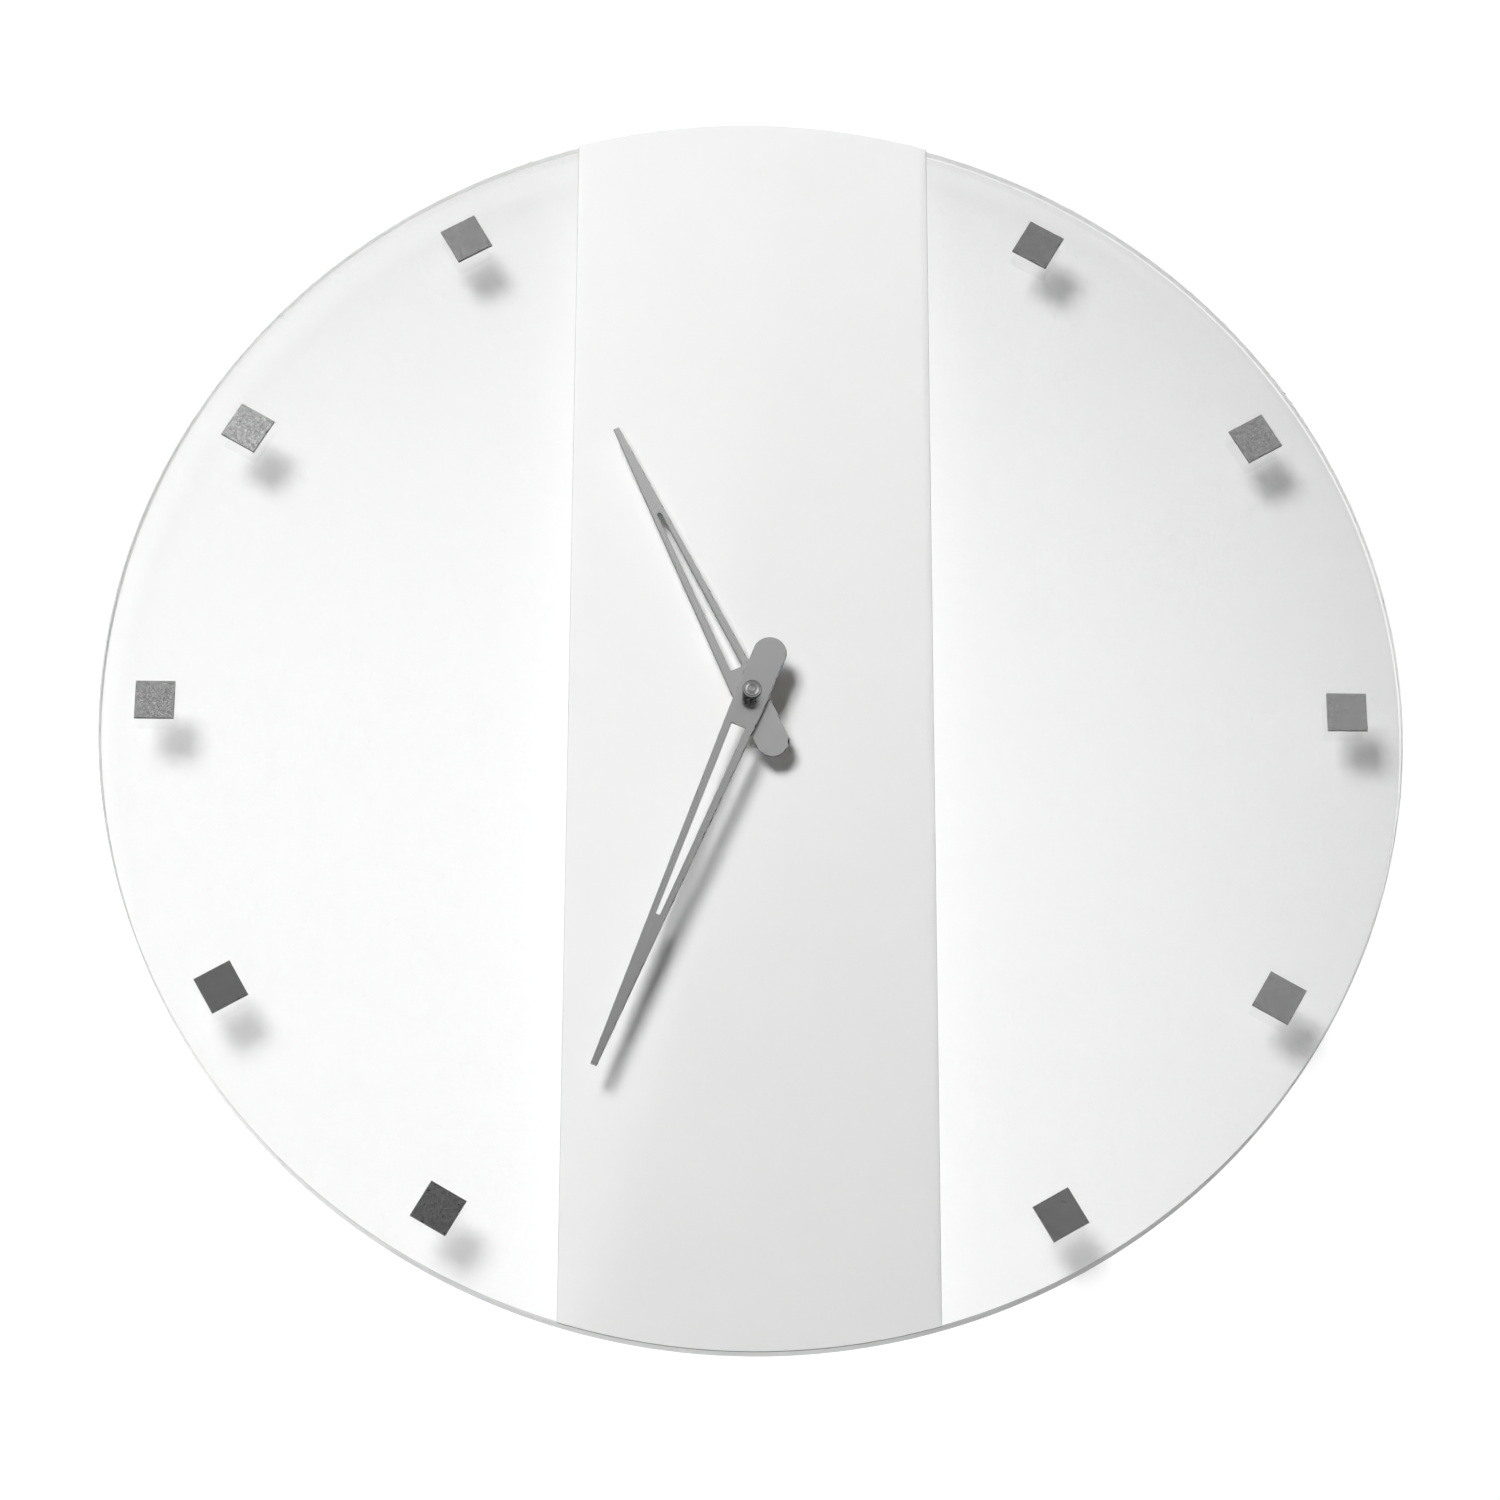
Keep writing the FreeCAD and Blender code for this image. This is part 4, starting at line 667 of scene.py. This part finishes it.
for hour in (1, 2, 3, 4, 5, 7, 8, 9, 10, 11):
    marker = plate.copy()
    marker.data = plate.data.copy()
    marker.name = f"marker_plate_{hour:02d}"
    bpy.context.collection.objects.link(marker)
    turn = math.radians(30 * hour)
    marker.rotation_euler = (0.0, turn, 0.0)
    only(marker)
    bpy.ops.object.transform_apply()
    steel = brushed_finish(f"marker_steel_{hour:02d}", shade=0.30, roughness=0.22,
                           turn=turn + math.pi / 2, spread=1.0, stroke=0.4 * mm)
    finished(marker, steel, "clock", "satin_steel", f"hour_marker_{hour:02d}")
    # The plate's edges and bevels get the dark grey of painted shade.
    dress_sides(marker, edge_shade, 0.9)
bpy.data.objects.remove(plate)

# %% [markdown]
# ## Hands
#
# Each hand is cut from the same sheet: a round tail, a blade that narrows to a blunt tip, and a
# long narrow slot. The outline is drawn from half a circle, whose two ends are pulled up to the
# axis and then on to the tip. It is filled and given its thickness, and the slot is cut with a
# tapered bar whose corners are rounded.

# %% One hand
tail_radius, tail_drop = 6.4 * mm, 18.6 * mm


def hand_blank(name, back, length, tip_width):
    """The hand's outline upright on the axis, as a plate whose rear face is at the depth back."""
    bpy.ops.object.select_all(action="DESELECT")
    bpy.ops.mesh.primitive_circle_add(vertices=96, radius=tail_radius,
                                      location=(0.0, -back, -tail_drop),
                                      rotation=(math.radians(90), 0.0, 0.0))
    made = bpy.context.active_object
    made.name = name
    bpy.ops.object.transform_apply()
    in_edit(made, "VERT")
    pick(made, "verts", lambda vert: vert.co.z > -tail_drop + nothing)
    bpy.ops.mesh.delete(type="VERT")
    pick(made, "verts", lambda vert: abs(vert.co.z + tail_drop) < nothing)
    for rise in (tail_drop, length):
        bpy.ops.mesh.extrude_region_move(TRANSFORM_OT_translate={"value": (0.0, 0.0, rise)})
    bpy.ops.transform.resize(value=(tip_width / 2 / tail_radius, 1.0, 1.0),
                             center_override=(0.0, -back, 0.0))
    bpy.ops.mesh.select_all(action="SELECT")
    bpy.ops.mesh.edge_face_add()
    bpy.ops.mesh.extrude_region_move(TRANSFORM_OT_translate={"value": (0.0, -sheet, 0.0)})
    bpy.ops.mesh.select_all(action="SELECT")
    bpy.ops.mesh.normals_make_consistent(inside=False)
    bpy.ops.object.mode_set(mode="OBJECT")
    return made


def slot_bar(back, start, end, near, far):
    """The slot's space, from start to end above the axis, near wide below and far wide above."""
    bpy.ops.object.select_all(action="DESELECT")
    bpy.ops.mesh.primitive_cube_add(size=1.0,
                                    location=(0.0, -back - sheet / 2, (start + end) / 2))
    made = bpy.context.active_object
    made.scale = (near, 4 * sheet, end - start)
    bpy.ops.object.transform_apply()
    in_edit(made)
    pick(made, "faces", lambda face: face.normal.z > 0.9)
    bpy.ops.transform.resize(value=(far / near, 1.0, 1.0), center_override=(0.0, 0.0, 0.0))
    pick(made, "edges", lambda edge: abs(edge.verts[0].co.y - edge.verts[1].co.y) > sheet)
    bpy.ops.mesh.bevel(offset=0.35 * mm, segments=4)
    bpy.ops.object.mode_set(mode="OBJECT")
    return made


def hand(name, turn, back, hole, length, tip_width, slot):
    """A hand at the angle turn, with softened front edges everywhere but at its hole."""
    made = hand_blank(name, back, length, tip_width)
    cut(made, slot_bar(back, *slot))
    cut(made, drill(hole, back))
    in_edit(made)
    count = pick(made, "edges", lambda edge: sharp(edge) and across(middle(edge)) > 5 * mm
                 and max(vert.co.y for vert in edge.verts) < -back - sheet * 0.9)
    bpy.ops.mesh.bevel(offset=0.13 * mm, segments=1)
    bpy.ops.object.mode_set(mode="OBJECT")
    print(name, "softened", count, "edges")
    made.rotation_euler = (0.0, turn, 0.0)
    only(made)
    bpy.ops.object.transform_apply()
    smooth(made, 20)
    return made


# %% [markdown]
# The hour hand stands a little past eleven and the minute hand a little past the half hour. They
# are brushed along their length, and lightly, so they mirror one stretch of the room and look
# even. The hour hand runs 4 mm behind the minute hand. The minute hand's steel is a darker grey
# than the hour hand's, which is painted shade, and both get the dark grey of painted shade at
# their sides.

# %% Hour and minute hands
hour_turn, minute_turn = math.radians(334.65), math.radians(201.65)
hour_hand = hand("hour_hand_blade", hour_turn, back=25.8 * mm, hole=3.2 * mm,
                 length=124.2 * mm, tip_width=2.3 * mm,
                 slot=(13.5 * mm, 84.5 * mm, 5.0 * mm, 1.6 * mm))
minute_hand = hand("minute_hand_blade", minute_turn, back=29.8 * mm, hole=2.45 * mm,
                   length=157.2 * mm, tip_width=2.4 * mm,
                   slot=(13.2 * mm, 94.5 * mm, 5.8 * mm, 1.7 * mm))
# Painted shade: the minute hand's steel is given a darker grey than the hour hand's, though both
# are the same steel.
hour_steel = brushed_finish("hour_hand_steel", shade=0.78, roughness=0.20,
                            turn=hour_turn, spread=0.05, stroke=9 * mm)
minute_steel = brushed_finish("minute_hand_steel", shade=0.72, roughness=0.20,
                              turn=minute_turn, spread=0.05, stroke=9 * mm)
finished(hour_hand, hour_steel, "hour_work", "satin_steel", "hour_hand")
finished(minute_hand, minute_steel, "minute_work", "satin_steel", "minute_hand")
# The hands' sides get the dark grey of painted shade.
for blade in (hour_hand, minute_hand):
    dress_sides(blade, edge_shade, 0.3)

# %% [markdown]
# ## Centre cap
#
# A small turned pin that holds the minute hand. The lathe tool leaves rings on its end, and rings
# spread a reflection towards and away from the middle, which gives the two bright wedges that a
# turned face shows. That is the same tip of the normal as on brushed steel, only outwards. The
# chamfer and the side are painted near black as painted shade, with the plain metal finish that
# also serves nuts and studs.

# %% Plain and turned metal


def metal_finish(name, shade, roughness, mark=400.0):
    """Bare or plated metal with faint handling marks."""
    f = Finish(name)
    marks = f.noise(f.place(), mark, detail=3.0)
    low = tuple(part * 0.9 for part in shade) + (1.0,)
    tone = f.blend(marks.spread(0.3, 0.7), low, tuple(shade) + (1.0,))
    polish = marks.spread(0.3, 0.8, roughness - 0.05, roughness + 0.08)
    return f.done(f.surface(Base_Color=tone, Metallic=1.0, Roughness=polish,
                            Normal=f.bump(marks, 0.01 * mm, 0.3)))


def rings(f, reach, scale, detail):
    """Noise that changes only with the distance from the axis."""
    return f.node("ShaderNodeTexNoise", {"noise_dimensions": "1D"},
                  {"W": reach, "Scale": scale, "Detail": detail})


def turned_finish(name, shade, roughness, spread):
    """Steel turned on a lathe, with rings round the clock's axis."""
    f = Finish(name)
    flat = f.vector("MULTIPLY", f.place(), (1.0, 0.0, 1.0))
    reach = f.vector("LENGTH", flat, output="Value")
    outward = f.vector("NORMALIZE", flat)
    bands = rings(f, reach, 1900.0, 1.0)
    tone = f.blend(bands.spread(0.35, 0.65), grey(shade * 0.7), grey(shade))
    tip = (rings(f, reach, 7000.0, 2.0) - 0.5) * spread
    return f.done(f.surface(Base_Color=tone, Metallic=1.0, Roughness=roughness,
                            Normal=tipped(f, outward, tip)))


plated = metal_finish("plated_steel", (0.70, 0.70, 0.68), 0.26)
brass = metal_finish("turned_brass", (0.78, 0.60, 0.30), 0.24)
# Near black: painted shade for the cap's chamfer and side.
cap_side_shade = metal_finish("cap_side_painted_shade", (0.09, 0.09, 0.09), 0.3)
polished = turned_finish("cap_turned_steel", shade=0.52, roughness=0.18, spread=0.95)
print("metals:", plated.name, brass.name, cap_side_shade.name, polished.name)

# %% [markdown]
# A turned piece is spun from half its outline, as on a lathe. The doubled points on the axis are
# merged afterwards, and the normals recalculated, because a spin can turn a shape inside out.

# %% Spin a turned piece


def turned(name, outline, sides=96, along_x=False, centre=(0.0, 0.0, 0.0)):
    """A turned piece, from pairs of radius and depth, or radius and place along X, in mm."""
    if along_x:
        points = [(place * mm, centre[1], centre[2] + radius * mm) for radius, place in outline]
    else:
        points = [(centre[0] + radius * mm, -place * mm, centre[2]) for radius, place in outline]
    made = line(name, points)
    in_edit(made, "VERT")
    bpy.ops.mesh.select_all(action="SELECT")
    bpy.ops.mesh.spin(steps=sides, angle=2 * math.pi, center=centre,
                      axis=(1.0, 0.0, 0.0) if along_x else (0.0, 1.0, 0.0))
    bpy.ops.mesh.select_all(action="SELECT")
    bpy.ops.mesh.remove_doubles(threshold=nothing)
    bpy.ops.mesh.normals_make_consistent(inside=False)
    bpy.ops.object.mode_set(mode="OBJECT")
    smooth(made)
    return made


print("lathe ready")

# %% [markdown]
# The cap has a flat end, a small chamfer, a straight side with a fine groove, and a bore in its
# back. Only its end is polished; the chamfer and the side are painted near black as painted shade,
# which draws a dark ring round the bright end.

# %% Centre cap
cap = turned("centre_cap_turned", [
    (0.0, 35.5), (1.75, 35.5), (1.75, 31.0), (3.7, 31.0), (3.7, 36.3), (3.58, 36.4),
    (3.58, 36.6), (3.7, 36.7), (3.7, 37.25), (3.63, 37.42), (3.46, 37.5), (3.4, 37.5),
    (0.0, 37.5)])
finished(cap, polished, "minute_work", "turned_steel", "centre_cap")
# The chamfer and the side get the near-black painted shade.
dress_sides(cap, cap_side_shade, 0.95)

# %% [markdown]
# ## Nuts, studs and the threaded neck
#
# A hexagon nut is a six-sided bar whose corners a lathe has turned away. So it keeps only what it
# shares with a round bar whose rims are bevelled.

# %% Nuts


def nut(name, flats, bore, back, front, x=0.0, z=0.0):
    """A hexagon nut with turned corners on both faces."""
    corner = flats / 2 / math.cos(math.radians(30))
    thick = front - back
    made = bar(6, corner, back, front, x, z)
    made.name = name
    blank = bar(72, corner * 1.001, back, front, x, z)
    in_edit(blank)
    pick(blank, "edges", at_one_depth)
    bpy.ops.mesh.bevel(offset_type="WIDTH", offset=(corner - flats / 2) * 0.9, segments=1)
    bpy.ops.object.mode_set(mode="OBJECT")
    cut(made, blank, "INTERSECT")
    cut(made, bar(48, bore, back - thick, front + thick, x, z))
    smooth(made)
    return made


centre_nut = nut("centre_nut_brass", 12 * mm, 4 * mm, 20 * mm, 22 * mm)
finished(centre_nut, brass, "clock", "brass", "centre_nut")
nuts = [nut(f"frame_nut_{n}", 8 * mm, 2.5 * mm, 1.8 * mm, 4.5 * mm, x, z)
        for n, (x, z) in enumerate(stud_places, start=1)]
for piece in nuts:
    finished(piece, plated, "clock", "plated_steel", "frame_nuts")

# %% [markdown]
# The neck of the movement shows two turns of its thread in front of the nut, and the studs show
# theirs behind. A thread is one tooth swept round and forwards at the same time, which is what
# the Screw modifier does. It is made too long, then sliced to length and closed at both ends.

# %% Threads


def threaded(name, outside, pitch, back, front, bore=0.0, x=0.0, z=0.0):
    """A threaded bar between two depths: one tooth, screwed forwards and sliced to length."""
    root = outside - 0.55 * pitch
    long = front - back
    lead = 1.5 * pitch
    made = line(name, [(radius, 0.0, rise * pitch) for radius, rise in (
        (root, -0.5), (root, -0.4), (outside, -0.06), (outside, 0.06), (root, 0.4), (root, 0.5))])
    only(made)
    screw = made.modifiers.new("screw", "SCREW")
    screw.axis = "Z"
    screw.screw_offset = pitch
    screw.iterations = math.ceil((long + 2 * lead) / pitch)
    screw.steps = screw.render_steps = 40
    bpy.ops.object.modifier_apply(modifier=screw.name)
    made.rotation_euler = (math.radians(90), 0.0, 0.0)
    made.location = (x, -(back - lead), z)
    bpy.ops.object.transform_apply()
    in_edit(made, "VERT")
    bpy.ops.mesh.select_all(action="SELECT")
    bpy.ops.mesh.remove_doubles(threshold=2 * nothing)
    for depth, way in ((back, 1.0), (front, -1.0)):
        bpy.ops.mesh.select_all(action="SELECT")
        bpy.ops.mesh.bisect(plane_co=(x, -depth, z), plane_no=(0.0, way, 0.0), clear_outer=True)
        pick(made, "edges", lambda edge: edge.is_boundary
             and all(abs(vert.co.y + depth) < nothing for vert in edge.verts))
        bpy.ops.mesh.edge_face_add()
    bpy.ops.mesh.select_all(action="SELECT")
    bpy.ops.mesh.normals_make_consistent(inside=False)
    bpy.ops.object.mode_set(mode="OBJECT")
    if bore:
        cut(made, bar(48, bore, back - long, front + long, x, z))
    smooth(made)
    return made


neck = threaded("movement_neck", outside=4 * mm, pitch=0.75 * mm, back=17.6 * mm,
                front=24 * mm, bore=2.55 * mm)
flange = turned("movement_neck_flange", [
    (2.55, 16.3), (5.5, 16.3), (5.5, 16.9), (3.55, 16.9), (3.55, 17.7), (2.55, 17.7),
    (2.55, 16.3)])
finished(neck, brass, "clock", "brass", "threaded_bush")
finished(flange, brass, "clock", "brass", "threaded_bush")
for n, (x, z) in enumerate(stud_places, start=1):
    stud = threaded(f"band_stud_{n}", outside=2.5 * mm, pitch=0.8 * mm, back=1.4 * mm,
                    front=18 * mm, x=x, z=z)
    finished(stud, plated, "clock", "plated_steel", "band_studs")

# %% [markdown]
# ## Battery
#
# A dry cell in a plain wrap: a steel can with a button at one end, a flat dished plate at the
# other, and the wrap's edge rolled over both. It is spun from its half outline along the bay. The
# wrap ends a little short of both ends, and its last stretch is copper-coloured.

# %% Battery finish and cell


def wrap_finish():
    f = Finish("battery_wrap")
    point = f.place()
    x, y, z = f.axes(point)
    drawn_out = f.node("ShaderNodeMapping", None,
                       {"Vector": point, "Scale": (200.0, 900.0, 900.0)})
    scuffs = f.noise(drawn_out, 1.0, detail=3.0)
    wrap_left, copper_left, wrap_right = -23.6 * mm, 10.5 * mm, 22.2 * mm
    wrapped = x.above(wrap_left) * x.below(wrap_right)
    coppered = x.above(copper_left) * x.below(wrap_right)
    worn = scuffs.spread(0.3, 0.7)
    body = f.blend(worn, (0.035, 0.036, 0.04, 1.0), (0.05, 0.052, 0.056, 1.0))
    copper = f.blend(worn, (0.62, 0.40, 0.22, 1.0), (0.70, 0.46, 0.27, 1.0))
    steel = f.blend(worn, grey(0.58), grey(0.68))
    tone = f.blend(wrapped, steel, f.blend(coppered, body, copper))
    return f.done(f.surface(Base_Color=tone, Metallic=(1.0 - wrapped) + coppered * 0.8,
                            Roughness=scuffs.spread(0.2, 0.8, 0.22, 0.34),
                            Normal=f.bump(scuffs, 0.01 * mm, 0.2)))


left, right, cell = -24.5, 25.1, 7.25
battery = turned("battery_cell_wrapped", [
    (0.0, left + 0.35), (4.6, left + 0.35), (4.8, left), (5.6, left), (5.8, left + 0.5),
    (6.4, left + 0.5), (6.6, left + 0.1), (7.0, left + 0.15), (cell, left + 0.5),
    (cell, right - 0.7), (6.95, right - 0.2), (6.2, right), (5.6, right - 0.1),
    (5.3, right - 0.45), (3.1, right - 0.45), (2.75, right - 0.1), (2.7, right + 0.8),
    (2.5, right + 1.0), (0.0, right + 1.0)],
    sides=64, along_x=True, centre=(0.0, -8.8 * mm, -18.2 * mm))
finished(battery, wrap_finish(), "battery_cell", "battery_wrap", "battery")

# %% [markdown]
# ## Finishes for the solids that keep their shape
#
# The rest of the clock is seen from behind or from the side, or only when it is taken apart. Its
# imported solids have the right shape, so each only gets a finish. Spark-eroded plastic, powder
# coat, nylon and rubber differ in colour, sheen and the size of their grain, so one function
# serves them all. The coil's wire and the board's tracks have patterns of their own.

# %% Moulded, wound and printed finishes


def moulded_finish(name, shade, roughness, grain, depth, variation=0.08):
    """Moulded plastic, rubber or paint: an even colour with a fine texture of its own."""
    f = Finish(name)
    point = f.place()
    texture = f.noise(point, grain, detail=3.0, roughness=0.6)
    cloud = f.noise(point, 40.0)
    low = tuple(part * (1 - variation) for part in shade) + (1.0,)
    tone = f.blend(cloud.spread(0.3, 0.7), low, tuple(shade) + (1.0,))
    polish = texture.spread(0.2, 0.8, roughness - 0.05, roughness + 0.05)
    return f.done(f.surface(Base_Color=tone, Roughness=polish,
                            Normal=f.bump(texture, depth, 0.5)))


def wound_finish():
    """Copper wire wound in close turns along the coil's upright core."""
    f = Finish("copper_winding")
    x, y, z = f.axes(f.place())
    wire = 0.12 * mm
    turns = (z * (2 * math.pi / wire)).math("SINE")
    shine = f.noise(f.place(), 900.0)
    tone = f.blend(shine.spread(0.3, 0.7), (0.50, 0.20, 0.08, 1.0), (0.75, 0.36, 0.17, 1.0))
    return f.done(f.surface(Base_Color=tone, Metallic=0.85, Roughness=0.3,
                            Normal=f.bump(turns, 0.03 * mm, 0.5)))


def board_finish():
    """Green solder mask over copper tracks that run in short straight steps."""
    f = Finish("circuit_board")
    tracks = f.node("ShaderNodeTexVoronoi", {"distance": "MANHATTAN", "feature": "F1"},
                    {"Vector": f.place(), "Scale": 420.0})
    mask = tracks.below(0.45)
    tone = f.blend(mask, (0.02, 0.12, 0.06, 1.0), (0.04, 0.22, 0.10, 1.0))
    return f.done(f.surface(Base_Color=tone, Roughness=0.3,
                            Normal=f.bump(mask, 0.03 * mm, 0.5)))


print("finishes for the packed solids ready")

# %% [markdown]
# Each finish is made once and put in the material slots of the solids that wear it. For the
# moulded ones the numbers are the colour, the roughness, the grains to a metre and their depth.

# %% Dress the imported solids
dressing = {
    moulded_finish("natural_nylon", (0.80, 0.79, 0.74), 0.45, 2500.0, 0.02 * mm):
        ("stud_sleeves", "frame_spacers", "train_plate", "coil_bobbin"),
    moulded_finish("black_rubber", (0.030, 0.030, 0.031), 0.75, 3000.0, 0.04 * mm):
        ("rubber_washer", "wall_bumpers"),
    moulded_finish("case_plastic", (0.030, 0.030, 0.032), 0.48, 3500.0, 0.06 * mm):
        ("movement_case",),
    moulded_finish("cover_plastic", (0.042, 0.042, 0.044), 0.45, 3500.0, 0.06 * mm):
        ("movement_cover",),
    moulded_finish("knob_plastic", (0.06, 0.06, 0.062), 0.35, 2500.0, 0.02 * mm):
        ("setting_knob",),
    moulded_finish("gear_plastic", (0.86, 0.85, 0.80), 0.35, 2000.0, 0.01 * mm):
        ("minute_arbor", "hour_wheel", "motion_wheel", "centre_wheel", "third_wheel",
         "second_wheel", "step_wheel", "rotor_pinion"),
    moulded_finish("frame_paint", (0.74, 0.74, 0.73), 0.42, 900.0, 0.06 * mm, 0.03):
        ("rear_frame",),
    moulded_finish("ferrite", (0.07, 0.07, 0.07), 0.6, 3000.0, 0.04 * mm):
        ("rotor_magnet",),
    moulded_finish("chip_resin", (0.012, 0.012, 0.012), 0.25, 500.0, 0.02 * mm):
        ("clock_chip",),
    metal_finish("silicon_iron", (0.42, 0.42, 0.40), 0.38): ("stator", "coil_core"),
    metal_finish("crystal_can", (0.80, 0.80, 0.80), 0.2): ("quartz_crystal",),
    metal_finish("contact_plate", (0.75, 0.73, 0.68), 0.25):
        ("contact_positive", "contact_negative"),
    plated: ("frame_washers",),
    brass: ("minute_hand_bush", "hour_hand_bush", "face_washer"),
    wound_finish(): ("coil_winding",),
    board_finish(): ("circuit_board",),
}
dressed = 0
for finish, names in dressing.items():
    for name in names:
        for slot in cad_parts[name].material_slots:
            slot.material = finish
        dressed += 1
print(dressed, "packed solids dressed")
